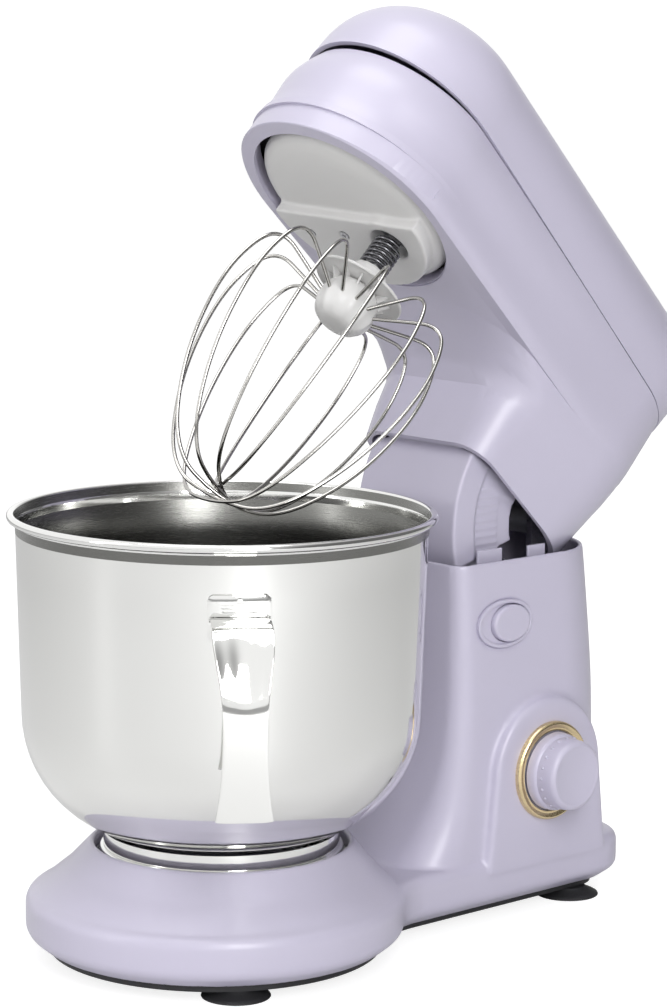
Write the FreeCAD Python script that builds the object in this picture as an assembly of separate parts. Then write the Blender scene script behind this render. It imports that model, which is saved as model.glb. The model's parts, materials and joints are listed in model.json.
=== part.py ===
"""Tilt-head stand mixer, built as separate pieces in millimetres.

The pieces are modelled about the bowl's axis (x = y = 0) with the table at z = 0, the nose towards -Y
and the speed knob on the +X side. The head is modelled closed (lowered) and then swung open about the
hinge pin. Last, everything is moved so that the origin is the middle of the overall footprint.
"""

import FreeCAD, Part
import math
import os

V = FreeCAD.Vector

# ---------------------------------------------------------------- driving dimensions (mm, degrees)
WALL = 2.5                  # plastic shells
GAP = 0.3                   # clearance between neighbouring pieces
RUN = 0.05                  # radial running clearance of a shaft in its bore
DIP = 0.2                   # face clearance of stacked pieces on different bodies

# bowl
BOWL_R = 110.0              # outside of the rolled rim
BOWL_TOP = 231.5            # top of the rim
BOWL_SHOULDER_R = 105.6     # wall radius just under the rim
BOWL_WAIST_R = 102.8        # wall radius where the bottom curve starts
BOWL_CURVE_R = 64.0         # radius of the bottom curve
BOWL_FLOOR = 64.0           # outside height of the flat bottom
BOWL_WALL = 0.8
RIM_ROLL_R = 2.1
FOOT_R = 61.6               # bowl's foot ring, outside
FOOT_WALL = 1.2
FOOT_Z = 47.0               # lower edge of the foot ring
LOCK_SCREW_R = FOOT_R - 6.6  # screws of the lock plate, inside the foot ring
LUG_COUNT = 3
LUG_ANGLE = 20.0            # width of a bayonet lug
LUG_REACH = 2.6             # how far a lug stands out of the ring
LUG_HEIGHT = 2.5
LUG_START = 20.0            # angle of the first lug

# bowl handle
HANDLE_ANGLE = -36.0        # direction of the handle about the bowl's axis
HANDLE_T = 2.0              # sheet thickness of the strap
HANDLE_W_TOP = 29.0
HANDLE_W_MID = 22.0
HANDLE_W_LOW = 28.0
HANDLE_TOP = 195.0          # where the strap leaves the bowl
HANDLE_LOW = 100.0          # lower end of the strap
HANDLE_STAND_OFF = 38.0
PLATE_W = 31.0              # plate welded to the bowl
PLATE_H = 23.0
PLATE_T = 1.6

# base
LOBE_R = 98.0               # round front of the base
LOBE_Y = -4.0
BASE_HALF = 60.0            # half width of the rear of the base
BASE_REAR = 252.0
BASE_CORNER = 26.0
WAIST_R = 40.0              # concave radius between the lobe and the rear
BASE_UNDER = 8.0            # lower edge of the base shell
BASE_EDGE_INSET = 9.0       # how far the lower edge is tucked in
BASE_WALL_LOW = 17.0
BASE_WALL_TOP = 30.0
SHOULDER_Z = 35.0
RECESS_R = 66.0             # recess that takes the bowl's foot
RECESS_TOP = 60.0
RECESS_FLOOR = 44.0
PLATE_LOW = 5.0             # underside of the base plate
FOOT_PAD_R = 17.5           # suction feet
FRONT_FOOT = (64.0, -45.0)
REAR_FOOT = (42.0, 216.0)
BOARD_POSTS = [(-32.0, 150.0), (32.0, 150.0), (-32.0, 215.0), (32.0, 215.0)]
LOBE_SCREWS = [(-64.5, 40.0), (64.5, 40.0), (0.0, -82.0)]
SIDE_SCREWS = [(-40.0, 140.0), (40.0, 140.0)]
REAR_SCREW = (0.0, BASE_REAR - 20.0)
PLATE_SCREWS = LOBE_SCREWS + SIDE_SCREWS + [REAR_SCREW]

# column
COLUMN_TOP = 196.0
# each row: height, half width, front y, rear y, front corner radius, rear corner radius
COLUMN_ROWS = [
    (20.0, 56.0, 84.0, BASE_REAR - 6.0, 30.0, 26.0),
    (34.0, 56.0, 90.0, BASE_REAR - 5.0, 28.0, 30.0),
    (46.0, 55.8, 99.0, BASE_REAR - 4.5, 24.0, 36.0),
    (60.0, 55.6, 107.0, BASE_REAR - 4.5, 20.0, 42.0),
    (80.0, 55.2, 113.5, BASE_REAR - 4.5, 15.0, 46.0),
    (105.0, 54.8, 117.5, BASE_REAR - 5.0, 12.0, 46.0),
    (130.0, 54.2, 119.0, BASE_REAR - 6.0, 11.0, 46.0),
    (160.0, 53.3, 119.5, BASE_REAR - 8.5, 10.0, 46.0),
    (COLUMN_TOP, 52.0, 119.5, BASE_REAR - 12.0, 10.0, 46.0),
]

# hinge
PIVOT_Y = 202.1
PIVOT_Z = 210.3
HEAD_OPEN = 44.5            # swing of the head from closed to open
PIN_R = 4.0
EAR_X = 30.0                # inner face of a hinge ear
EAR_T = 4.0
EAR_R = 11.0
BRACKET_HALF = 51.6         # half width of the cross plate, to the column's walls
BARREL_R = 9.0

# head, in its closed pose
HEAD_NOSE_Y = -2.0          # centre of the round nose
HEAD_REAR = 236.0
COVER_REAR = 240.0          # the top cover overhangs the lower shell
HEAD_CORNER = 48.0
# each row: height, nose radius, half width at the rear
BOAT_ROWS = [
    (249.8, 64.5, 59.0),
    (252.0, 66.6, 60.0),
    (257.0, 67.6, 61.0),
    (280.0, 65.0, 60.8),
    (300.0, 62.6, 60.3),
    (318.0, 61.0, 60.0),
]
SEAM_Z = 306.6              # parting line over the bowl's axis
SEAM_SLOPE = 2.85           # degrees, falling to the rear
SEAM_GAP = 0.6
HEAD_TOP = 362.0
COVER_SLOPE = 1.7           # degrees that the cover's top falls to the rear
TOP_ROUND = 45.0            # radius of the cover's shoulder
OPENING_R = 58.5            # opening over the planetary cover
# tail of the lower shell: height, half width, front y, rear y, front corner, rear corner
TAIL_ROWS = [
    (197.5, 47.5, 121.0, 233.0, 18.0, 42.0),
    (215.0, 51.0, 117.0, 234.5, 20.0, 44.0),
    (231.0, 55.0, 113.0, 235.5, 26.0, 46.0),
    (239.0, 57.5, 104.0, 235.8, 34.0, 47.0),
    (245.0, 59.0, 86.0, 236.0, 42.0, 48.0),
    (251.0, 60.0, 62.0, 236.0, 48.0, 48.0),
    (262.0, 60.5, 50.0, 236.0, 50.0, 48.0),
]
NECK_R = 74.0               # neck cover, concentric with the hinge pin
NECK_HALF = 37.0
NECK_FROM = -8.0            # its upper and lower angle, below straight ahead
NECK_TO = -60.0

# drive
MODULE = 1.0
RING_TEETH = 76
RING_RIM = 8.0              # wall behind the ring gear's teeth
RING_SEAT = 4.0             # wall of its seat in the frame
PLANET_TEETH = 20
MAIN_TEETH = 60
JACK_TEETH = 12
GEAR_BOX_WALL = 3.0
BEATER_PHASE = 37.0         # where the beater stands on its orbit
COVER_R = 56.0              # planetary cover
COVER_SCREWS = [(-8.0, 12.0), (-34.0, 12.0)]
ISLAND_TURN = 4.0           # lean of the island's straight edge
ISLAND_EDGE = -1.0          # the island lies behind this line
MOTOR_Y = 162.0
STATOR_R = 33.0
ROTOR_R = 19.0
PULLEY_SMALL_R = 7.0
PULLEY_BIG_R = 28.0

# whisk
WIRE_R = 1.0
WIRE_LOOPS = 6
WIRE_STACK = 2.3            # height between the crossing bottoms

# controls
KNOB_Y = 181.0
KNOB_Z = 79.0
POD_R = 40.0
POD_X = 61.0
KNOB_R = 20.3
KNOB_LENGTH = 18.0
RING_OUT_R = 26.9
RING_IN_R = 22.0
KNOB_SHAFT_R = 3.0
BUTTON_Y = 152.0
BUTTON_Z = 162.0
BEZEL_A = 20.5              # half axes of the oval bezel
BEZEL_B = 13.0
CAP_Y = 155.3
CAP_A = 13.5
CAP_B = 10.0
CAP_BACK = 48.0
CAP_FRONT = 56.6
ROD_R = 3.0                 # push rod behind the button
SPRING_R = 5.2

ORBIT_R = MODULE * (RING_TEETH - PLANET_TEETH) / 2
BEATER_X = ORBIT_R * math.cos(math.radians(BEATER_PHASE))
BEATER_Y = ORBIT_R * math.sin(math.radians(BEATER_PHASE))
JACK_Y = MODULE * (MAIN_TEETH + JACK_TEETH) / 2

PARTS = {}


# ---------------------------------------------------------------- small helpers
def cylinder(r, z0, z1, x=0.0, y=0.0):
    return Part.makeCylinder(r, z1 - z0, V(x, y, z0))


def tube(r_out, r_in, z0, z1, x=0.0, y=0.0):
    return cylinder(r_out, z0, z1, x, y).cut(cylinder(r_in, z0 - 1, z1 + 1, x, y))


def x_cylinder(r, x0, x1, y, z):
    return Part.makeCylinder(r, x1 - x0, V(x0, y, z), V(1, 0, 0))


def box(x0, x1, y0, y1, z0, z1):
    return Part.makeBox(x1 - x0, y1 - y0, z1 - z0, V(x0, y0, z0))


def joined(shapes):
    first = shapes[0]
    return first.multiFuse(shapes[1:]).removeSplitter() if len(shapes) > 1 else first


def revolved(points, x=0.0, y=0.0):
    """Solid of revolution about a vertical axis from (radius, height) points."""
    wire = Part.makePolygon([V(r, 0, z) for r, z in points] + [V(points[0][0], 0, points[0][1])])
    solid = Part.Face(wire).revolve(V(0, 0, 0), V(0, 0, 1), 360)
    solid.translate(V(x, y, 0))
    return solid


def x_revolved(points, y, z):
    """Solid of revolution about an axis along X from (x, radius) points."""
    wire = Part.makePolygon([V(x, r, 0) for x, r in points] + [V(points[0][0], points[0][1], 0)])
    solid = Part.Face(wire).revolve(V(0, 0, 0), V(1, 0, 0), 360)
    solid.translate(V(0, y, z))
    return solid


def arc(centre, r, a0, a1, z):
    """Arc edge in a level plane, from angle a0 to a1 in degrees."""
    spots = [math.radians(a) for a in (a0, (a0 + a1) / 2, a1)]
    return Part.Arc(*[V(centre[0] + r * math.cos(a), centre[1] + r * math.sin(a), z) for a in spots]).toShape()


def line(a, b):
    return Part.LineSegment(a, b).toShape()


def ellipse_prism(a, b, y, z, x0, x1):
    """Oval with half axes a (along Y) and b (along Z), from x0 to x1."""
    curve = Part.Ellipse(V(0, 0, 0), a, b)
    face = Part.Face(Part.Wire(curve.toShape()))
    face.rotate(V(0, 0, 0), V(1, 0, 0), 90)
    face.rotate(V(0, 0, 0), V(0, 0, 1), 90)
    face.translate(V(x0, y, z))
    return face.extrude(V(x1 - x0, 0, 0))


def rounded_outline(half, front, rear, r_front, r_rear, z):
    """Level rectangle with rounded corners, as four arcs and four lines."""
    f, r = front + r_front, rear - r_rear
    a, b = half - r_front, half - r_rear
    return Part.Wire([
        arc((-a, f), r_front, 180, 270, z),
        line(V(-a, front, z), V(a, front, z)),
        arc((a, f), r_front, 270, 360, z),
        line(V(half, f, z), V(half, r, z)),
        arc((b, r), r_rear, 0, 90, z),
        line(V(b, rear, z), V(-b, rear, z)),
        arc((-b, r), r_rear, 90, 180, z),
        line(V(-half, r, z), V(-half, f, z)),
    ])


def loft(wires, ruled=False):
    return Part.makeLoft(wires, True, ruled)


def gear(teeth, z0, z1, x=0.0, y=0.0, turn=0.0, inner=False):
    """Spur gear blank with straight-flanked teeth; inner=True gives the space that an internal gear leaves."""
    pitch = MODULE * teeth / 2
    out, root = (1.15, 0.95) if inner else (0.9, 1.2)
    top, low = pitch + out * MODULE, pitch - root * MODULE
    widths = (0.30, 0.62) if not inner else (0.34, 0.70)
    points = []
    for i in range(teeth):
        middle = turn + 360.0 * i / teeth
        step = 360.0 / teeth
        for r, share in ((low, -widths[1]), (top, -widths[0]), (top, widths[0]), (low, widths[1])):
            a = math.radians(middle + share * step / 2)
            points.append(V(x + r * math.cos(a), y + r * math.sin(a), z0))
    return Part.Face(Part.makePolygon(points + [points[0]])).extrude(V(0, 0, z1 - z0))


def screw(x, y, z_head, length, r=2.0, up=False):
    """Pan-head screw with a cross recess; its head's top is at z_head and points down unless up is set."""
    sign = 1.0 if up else -1.0
    head_h = 0.7 * r
    low = z_head - sign * head_h
    head = Part.makeCylinder(1.8 * r, head_h, V(x, y, min(z_head, low)))
    end = low - sign * length
    shank = Part.makeCylinder(r, length, V(x, y, min(low, end)))
    slot = box(x - 1.1 * r, x + 1.1 * r, y - 0.2 * r, y + 0.2 * r, z_head - 0.35 * r, z_head + 0.35 * r)
    cross = slot.copy()
    cross.rotate(V(x, y, 0), V(0, 0, 1), 90)
    return head.fuse(shank).cut(slot).cut(cross)


def rounded_path(points, share=0.45):
    """Wire of straight runs joined by tangent arcs through a list of corner points."""
    edges = []
    last = points[0]
    for before, corner, after in zip(points, points[1:], points[2:]):
        into = (corner - before)
        out = (after - corner)
        reach = share * min(into.Length, out.Length)
        into.normalize()
        out.normalize()
        start, end = corner - into * reach, corner + out * reach
        middle_way = (out - into)
        turn = into.getAngle(out)
        radius = reach / math.tan(turn / 2)
        middle_way.normalize()
        middle = corner + middle_way * (radius / math.cos(turn / 2) - radius)
        edges.append(line(last, start))
        edges.append(Part.Arc(start, middle, end).toShape())
        last = end
    edges.append(line(last, points[-1]))
    return Part.Wire(edges)


def rod(path, r):
    """Round wire of radius r along a path."""
    first = path.OrderedEdges[0]
    start = first.valueAt(first.FirstParameter)
    way = first.tangentAt(first.FirstParameter)
    section = Part.Wire(Part.makeCircle(r, start, way))
    return path.makePipeShell([section], True, False)


def add(node, shape, group):
    PARTS[node] = (shape, group)


# ---------------------------------------------------------------- base and column
def base_outline(inset, z):
    """Plan of the base at one level: round lobe, concave waist, square rear."""
    lobe, waist, half = LOBE_R - inset, WAIST_R + inset, BASE_HALF - inset
    corner, rear = BASE_CORNER - inset * 0.5, BASE_REAR - inset
    side = BASE_HALF + WAIST_R
    waist_y = LOBE_Y + math.sqrt((LOBE_R + WAIST_R) ** 2 - side ** 2)
    meet = math.degrees(math.atan2(waist_y - LOBE_Y, side))
    edges = [
        arc((0, LOBE_Y), lobe, 180 - meet, 360 + meet, z),
        arc((side, waist_y), waist, 180 + meet, 180, z),
        line(V(half, waist_y, z), V(half, rear - corner, z)),
        arc((half - corner, rear - corner), corner, 0, 90, z),
        line(V(half - corner, rear, z), V(corner - half, rear, z)),
        arc((corner - half, rear - corner), corner, 90, 180, z),
        line(V(-half, rear - corner, z), V(-half, waist_y, z)),
        arc((-side, waist_y), waist, 0, -meet, z),
    ]
    return Part.Wire(edges)


def base_body(shrink):
    """Base and column as one solid, every wall moved in by shrink."""
    under = BASE_UNDER - (1.0 if shrink else 0.0)
    slab = loft([
        base_outline(BASE_EDGE_INSET + shrink, under),
        base_outline(1.5 + shrink, BASE_WALL_LOW - 3.0),
        base_outline(shrink, BASE_WALL_LOW),
    ], True)
    wall = loft([base_outline(shrink, BASE_WALL_LOW), base_outline(shrink, BASE_WALL_TOP)], True)
    shoulder = loft([
        base_outline(shrink, BASE_WALL_TOP),
        base_outline(1.2 + shrink, SHOULDER_Z - 2.0),
        base_outline(4.0 + shrink, SHOULDER_Z - 0.8 * shrink),
    ], True)
    z0, z1 = SHOULDER_Z - 2.0 - 0.8 * shrink, RECESS_TOP - shrink
    low = Part.Wire(Part.makeCircle(LOBE_R - 2.6 - shrink, V(0, LOBE_Y, z0)))
    crease = Part.Wire(Part.makeCircle(79.5 - shrink, V(0, -1.5, z0 + 0.52 * (z1 - z0))))
    high = Part.Wire(Part.makeCircle(RECESS_R + 2.0 - shrink * 0.4, V(0, 0, z1)))
    cone = loft([low, crease, high], True)
    lowest, highest = COLUMN_ROWS[0][0], COLUMN_ROWS[-1][0]
    past = {lowest: -4.0 * shrink, highest: 0.8 * shrink}
    column = loft([
        rounded_outline(half - shrink, front + shrink, rear - shrink,
                        max(r_front - shrink, 3.0), r_rear - shrink, z + past.get(z, 0.0))
        for z, half, front, rear, r_front, r_rear in COLUMN_ROWS
    ])
    return joined([slab, wall, shoulder, cone, column])


def pod(x0, x1, r, splay):
    """Raised arch round the speed knob."""
    foot = BASE_WALL_TOP - 2.0
    left, right = KNOB_Y - r - splay, KNOB_Y + r + splay
    turn = math.degrees(math.atan2(splay, KNOB_Z - foot))
    a = math.radians(turn)
    p = [V(x0, KNOB_Y + r * math.cos(a), KNOB_Z + r * math.sin(a)), V(x0, KNOB_Y, KNOB_Z + r),
         V(x0, KNOB_Y - r * math.cos(a), KNOB_Z + r * math.sin(a))]
    wire = Part.Wire([
        Part.Arc(*p).toShape(),
        line(p[2], V(x0, left, foot)),
        line(V(x0, left, foot), V(x0, right, foot)),
        line(V(x0, right, foot), p[0]),
    ])
    return Part.Face(wire).extrude(V(x1 - x0, 0, 0))


def stand_housing():
    outer = base_body(0.0)
    arch = pod(POD_X - 12.0, POD_X, POD_R, 6.0)
    outer_edges = [e for e in arch.Edges if e.BoundBox.XMin > POD_X - 0.1 and e.BoundBox.ZMax > 40]
    arch = arch.makeFillet(3.0, outer_edges)
    outer = joined([outer, arch])
    inner = base_body(WALL)
    pocket = cylinder(RECESS_R + WALL, RECESS_FLOOR - WALL, RECESS_TOP + 10)
    shell = outer.cut(inner.cut(pocket)).cut(cylinder(RECESS_R, RECESS_FLOOR, RECESS_TOP + 10))
    shell = shell.cut(pod(POD_X - 20.0, POD_X - WALL, POD_R - WALL, 6.0).common(box(40, 70, 0, 260, 33, 130)))
    shell = shell.cut(x_cylinder(KNOB_SHAFT_R + 4.5, 40, POD_X + 5, KNOB_Y, KNOB_Z))
    shell = shell.cut(ellipse_prism(BEZEL_A - 1.0, BEZEL_B - 1.0, BUTTON_Y, BUTTON_Z, 30, 70))
    shell = shell.cut(ellipse_prism(BEZEL_A + 0.15, BEZEL_B + 0.15, BUTTON_Y, BUTTON_Z, 51.9, 70))
    shell = shell.cut(Part.makeCylinder(8.0, 40, V(0, BASE_REAR - 30, 58), V(0, 1, 0)))
    for x, y in lock_screws():
        shell = shell.cut(cylinder(2.05, RECESS_FLOOR - 10, RECESS_FLOOR + 1, x, y))
    bosses, bores = screw_bosses()
    shell = joined([shell] + bosses)
    for bore in bores:
        shell = shell.cut(bore)
    return shell


def base_plate():
    inset = BASE_EDGE_INSET + WALL + GAP
    deck = loft([base_outline(inset, PLATE_LOW), base_outline(inset, BASE_UNDER + 3.0)], True)
    levels = (BASE_UNDER + 0.5, BASE_UNDER + 4.0)
    hollow = loft([base_outline(inset + 3.0, z) for z in levels], True)
    deck = deck.cut(hollow)
    posts = [cylinder(3.5, BASE_UNDER, 40.0 - DIP, x, y) for x, y in BOARD_POSTS]
    plate = joined([deck] + posts)
    for x, y in feet_places():
        plate = plate.cut(cylinder(6.0 + RUN, PLATE_LOW - 1, PLATE_LOW + 2.0, x, y))
    for x, y in PLATE_SCREWS:
        plate = plate.cut(cylinder(2.2, PLATE_LOW - 1, PLATE_LOW + 8, x, y))
        plate = plate.cut(cylinder(4.4, PLATE_LOW - 1, PLATE_LOW + 1.6, x, y))
    return plate


def screw_bosses():
    """Bosses under the base shell for the screws of the base plate, ribbed to the nearest wall."""
    low = BASE_UNDER + 0.8
    shapes = [cylinder(4.5, low, 43.5, x, y) for x, y in LOBE_SCREWS]
    for x, y in SIDE_SCREWS:
        side = 1 if x > 0 else -1
        wall = side * (BASE_HALF - WALL / 2)
        rib = box(min(x, wall), max(x, wall), y - 1.5, y + 1.5, BASE_WALL_LOW, BASE_WALL_TOP)
        shapes.append(cylinder(4.5, low, 32.0, x, y).fuse(rib))
    x, y = REAR_SCREW
    rib = box(x - 1.5, x + 1.5, y, BASE_REAR - WALL / 2, BASE_WALL_LOW, BASE_WALL_TOP)
    shapes.append(cylinder(4.5, low, 32.0, x, y).fuse(rib))
    bores = [cylinder(2.02, low - 1, 18.0, x, y) for x, y in PLATE_SCREWS]
    return shapes, bores


def feet_places():
    return [(s * x, y) for x, y in (FRONT_FOOT, REAR_FOOT) for s in (-1, 1)]


def suction_feet():
    shapes = []
    for x, y in feet_places():
        cup = revolved([(0, 2.2), (9, 1.8), (FOOT_PAD_R - 2, 0), (FOOT_PAD_R, 0), (FOOT_PAD_R - 0.8, 1.6),
                        (10, PLATE_LOW - DIP), (6, PLATE_LOW - DIP), (6, PLATE_LOW + 1.8),
                        (0, PLATE_LOW + 1.8)], x, y)
        shapes.append(cup)
    return Part.makeCompound(shapes)


def bowl_lock_plate():
    """Pressed bayonet ring on the recess floor; its hooks hold the bowl's lugs down after a twist."""
    out = RECESS_R - 0.4
    ring = tube(out, LOCK_SCREW_R - 7.0, RECESS_FLOOR, FOOT_Z - 0.5)
    rim = tube(out, out - 1.0, FOOT_Z - 0.6, 53.0)
    plate = joined([ring, rim])
    for i in range(LUG_COUNT):
        start = LUG_START + LUG_ANGLE + 4.0 + i * 360.0 / LUG_COUNT
        hook = Part.makeCylinder(out - 0.2, 2.2, V(0, 0, FOOT_Z + LUG_HEIGHT + 0.6), V(0, 0, 1), 26.0)
        hook = hook.cut(cylinder(FOOT_R + GAP + 0.2, 40, 60))
        hook.rotate(V(0, 0, 0), V(0, 0, 1), start)
        plate = plate.fuse(hook)
    for x, y in lock_screws():
        plate = plate.cut(cylinder(2.1, 40, 60, x, y))
    return plate


def lock_screws():
    return [(LOCK_SCREW_R * math.cos(math.radians(a)), LOCK_SCREW_R * math.sin(math.radians(a)))
            for a in (0, 90, 180, 270)]


def column_tabs():
    """Guide tabs that stand on the rim of the column beside the neck."""
    shapes = []
    wall = COLUMN_ROWS[-1][1] - WALL - GAP
    for y0, y1, top in ((140, 158, 5.0), (178, 191, 4.0)):
        blade = box(wall - 6.7, wall - 4.7, y0, y1, COLUMN_TOP - 14, COLUMN_TOP + top)
        foot = box(wall - 6.7, wall, y0, y1, COLUMN_TOP - 16, COLUMN_TOP - 13)
        tab = blade.fuse(foot)
        shapes += [tab, tab.mirror(V(0, 0, 0), V(1, 0, 0))]
    return Part.makeCompound(shapes)


def hinge_bracket():
    """Two steel ears on a cross plate, screwed to the column's side walls."""
    ears = []
    for side in (-1, 1):
        x0 = EAR_X if side > 0 else -EAR_X - EAR_T
        ear = x_cylinder(EAR_R, x0, x0 + EAR_T, PIVOT_Y, PIVOT_Z)
        ear = ear.fuse(box(x0, x0 + EAR_T, PIVOT_Y - EAR_R, PIVOT_Y, 117, PIVOT_Z))
        ears.append(ear)
    cross = box(-BRACKET_HALF, BRACKET_HALF, PIVOT_Y - 40, PIVOT_Y - 2, 114, 118)
    turned_down = [box(x0, x0 + 3.0, PIVOT_Y - 40, PIVOT_Y - 2, 100, 118)
                   for x0 in (-BRACKET_HALF, BRACKET_HALF - 3.0)]
    bracket = joined(ears + [cross] + turned_down)
    return bracket.cut(x_cylinder(PIN_R + 0.02, -60, 60, PIVOT_Y, PIVOT_Z))


def hinge_pin():
    length = EAR_X + EAR_T
    return x_cylinder(PIN_R, -length - 0.8, length + 0.8, PIVOT_Y, PIVOT_Z)


def inlet_gland():
    body = Part.makeCylinder(8.0 - 0.1, 9, V(0, BASE_REAR - 8.5, 58), V(0, 1, 0))
    flange = Part.makeCylinder(10.5, 2.5, V(0, BASE_REAR - 4.2, 58), V(0, 1, 0))
    hole = Part.makeCylinder(3.6, 40, V(0, BASE_REAR - 30, 58), V(0, 1, 0))
    return body.fuse(flange).cut(hole)


def control_board():
    board = box(-42, 42, 142, 223, 40.0, 41.6)
    for x, y in BOARD_POSTS:
        board = board.cut(cylinder(1.6, 39, 43, x, y))
    return board


def board_parts():
    top = 41.6
    shapes = [
        cylinder(8.0, top, top + 22, -20, 165), cylinder(5.0, top, top + 14, -2, 160),
        box(-38, -14, 190, 204, top, top + 18), box(-6, 4, 185, 215, top, top + 24),
        box(12, 28, 192, 210, top, top + 12), cylinder(3.2, top, top + 9, 12, 158),
    ]
    return Part.makeCompound(shapes)


def speed_switch():
    """Rotary switch held on the inside of the knob's pod."""
    body = box(24, 44, KNOB_Y - 14, KNOB_Y + 14, KNOB_Z - 14, KNOB_Z + 14)
    bush = x_cylinder(KNOB_SHAFT_R + 4.2, 44, POD_X + 1.0, KNOB_Y, KNOB_Z)
    nut = x_cylinder(10.0, POD_X + 0.1, POD_X + 1.2, KNOB_Y, KNOB_Z)
    flange = box(44, POD_X - WALL - 8.0, KNOB_Y - 12, KNOB_Y + 12, KNOB_Z - 12, KNOB_Z + 12)
    return joined([body, bush, flange, nut]).cut(x_cylinder(KNOB_SHAFT_R + RUN, 30, 80, KNOB_Y, KNOB_Z))


def knob_ring():
    """Metal trim ring round the knob."""
    return x_revolved([(POD_X + 0.05, RING_IN_R), (POD_X + 0.05, RING_OUT_R), (POD_X + 2.0, RING_OUT_R),
                       (POD_X + 3.2, RING_OUT_R - 1.2), (POD_X + 3.2, RING_IN_R + 1.0),
                       (POD_X + 2.4, RING_IN_R)], KNOB_Y, KNOB_Z)


def speed_knob():
    x0 = POD_X + 2.2
    x1 = x0 + KNOB_LENGTH
    knob = x_revolved([(x0, 0), (x0, KNOB_R + 1.0), (x0 + 5, KNOB_R + 0.6), (x0 + 6, KNOB_R - 0.8),
                       (x1 - 2.5, KNOB_R - 1.6), (x1, KNOB_R - 4.4), (x1, 0)], KNOB_Y, KNOB_Z)
    socket = x_cylinder(KNOB_SHAFT_R + 0.02, x0 - 1, x0 + 12, KNOB_Y, KNOB_Z)
    flat = box(x0 - 1, x0 + 13, KNOB_Y - 5, KNOB_Y + 5, KNOB_Z + KNOB_SHAFT_R - 0.7, KNOB_Z + 6)
    return knob.cut(socket.cut(flat))


def knob_shaft():
    x1 = POD_X + 2.2 + 11.5
    shaft = x_cylinder(KNOB_SHAFT_R, 31, x1, KNOB_Y, KNOB_Z)
    flat = box(POD_X + 2.0, x1 + 1, KNOB_Y - 5, KNOB_Y + 5, KNOB_Z + KNOB_SHAFT_R - 0.72, KNOB_Z + 6)
    return shaft.cut(flat)


def button_bezel():
    """Oval bezel with a sleeve and a floor that guides the push rod; the front crescent lies deeper."""
    ring = ellipse_prism(BEZEL_A, BEZEL_B, BUTTON_Y, BUTTON_Z, 52.0, 54.6)
    sleeve = ellipse_prism(BEZEL_A - 1.2, BEZEL_B - 1.2, BUTTON_Y, BUTTON_Z, 43.4, 52.1)
    body = ring.fuse(sleeve)
    body = body.cut(ellipse_prism(CAP_A + GAP, CAP_B + GAP, CAP_Y, BUTTON_Z, 44.6, 60))
    body = body.cut(ellipse_prism(BEZEL_A - 2.0, BEZEL_B - 2.0, BUTTON_Y, BUTTON_Z, 53.4, 60))
    return body.cut(x_cylinder(ROD_R + 0.3, 40, 60, CAP_Y, BUTTON_Z))


def release_button():
    cap = ellipse_prism(CAP_A, CAP_B, CAP_Y, BUTTON_Z, CAP_BACK, CAP_FRONT)
    cap = cap.makeFillet(1.6, [e for e in cap.Edges if e.BoundBox.XMin > CAP_FRONT - 0.1])
    return cap.cut(x_cylinder(SPRING_R + 0.6, CAP_BACK - 1, CAP_FRONT - 2.6, CAP_Y, BUTTON_Z))


def latch_rod():
    """Push rod from the button's cap to the lock of the hinge."""
    shaft = x_cylinder(ROD_R, 41.0, CAP_FRONT - 2.6, CAP_Y, BUTTON_Z)
    tongue = box(41.0, 42.6, CAP_Y - 7, CAP_Y + 5, BUTTON_Z - 7, BUTTON_Z + 7)
    return shaft.fuse(tongue)


def button_spring():
    """Sleeve that stands for the return coil between the bezel's floor and the cap."""
    coil = x_cylinder(SPRING_R, 44.7, CAP_FRONT - 2.7, CAP_Y, BUTTON_Z)
    return coil.cut(x_cylinder(SPRING_R - 1.2, 40, 60, CAP_Y, BUTTON_Z))


# ---------------------------------------------------------------- bowl
def bowl_profile(inset):
    """Edges of the bowl's section, from the axis to the rim."""
    r = BOWL_CURVE_R - inset
    c = V(BOWL_WAIST_R - BOWL_CURVE_R, 0, BOWL_FLOOR + BOWL_CURVE_R)
    s = math.sqrt(0.5)
    return [
        line(V(0, 0, BOWL_FLOOR + inset), V(c.x, 0, BOWL_FLOOR + inset)),
        Part.Arc(V(c.x, 0, BOWL_FLOOR + inset), V(c.x + r * s, 0, c.z - r * s), V(c.x + r, 0, c.z)).toShape(),
        line(V(c.x + r, 0, c.z), V(BOWL_SHOULDER_R - inset, 0, BOWL_TOP - RIM_ROLL_R)),
    ]


def bowl():
    outer, inner = bowl_profile(0.0), bowl_profile(BOWL_WALL)
    top = BOWL_TOP - RIM_ROLL_R
    edges = outer + [line(V(BOWL_SHOULDER_R, 0, top), V(BOWL_SHOULDER_R - BOWL_WALL, 0, top))] + inner
    edges.append(line(V(0, 0, BOWL_FLOOR), V(0, 0, BOWL_FLOOR + BOWL_WALL)))
    body = Part.Face(Part.Wire(Part.__sortEdges__(edges))).revolve(V(0, 0, 0), V(0, 0, 1), 360)
    roll = Part.makeTorus(BOWL_R - RIM_ROLL_R, RIM_ROLL_R, V(0, 0, top))
    web = tube(BOWL_R - RIM_ROLL_R, BOWL_SHOULDER_R - BOWL_WALL, top - 0.6, top + 0.6)
    return joined([body, web, roll])


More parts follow.
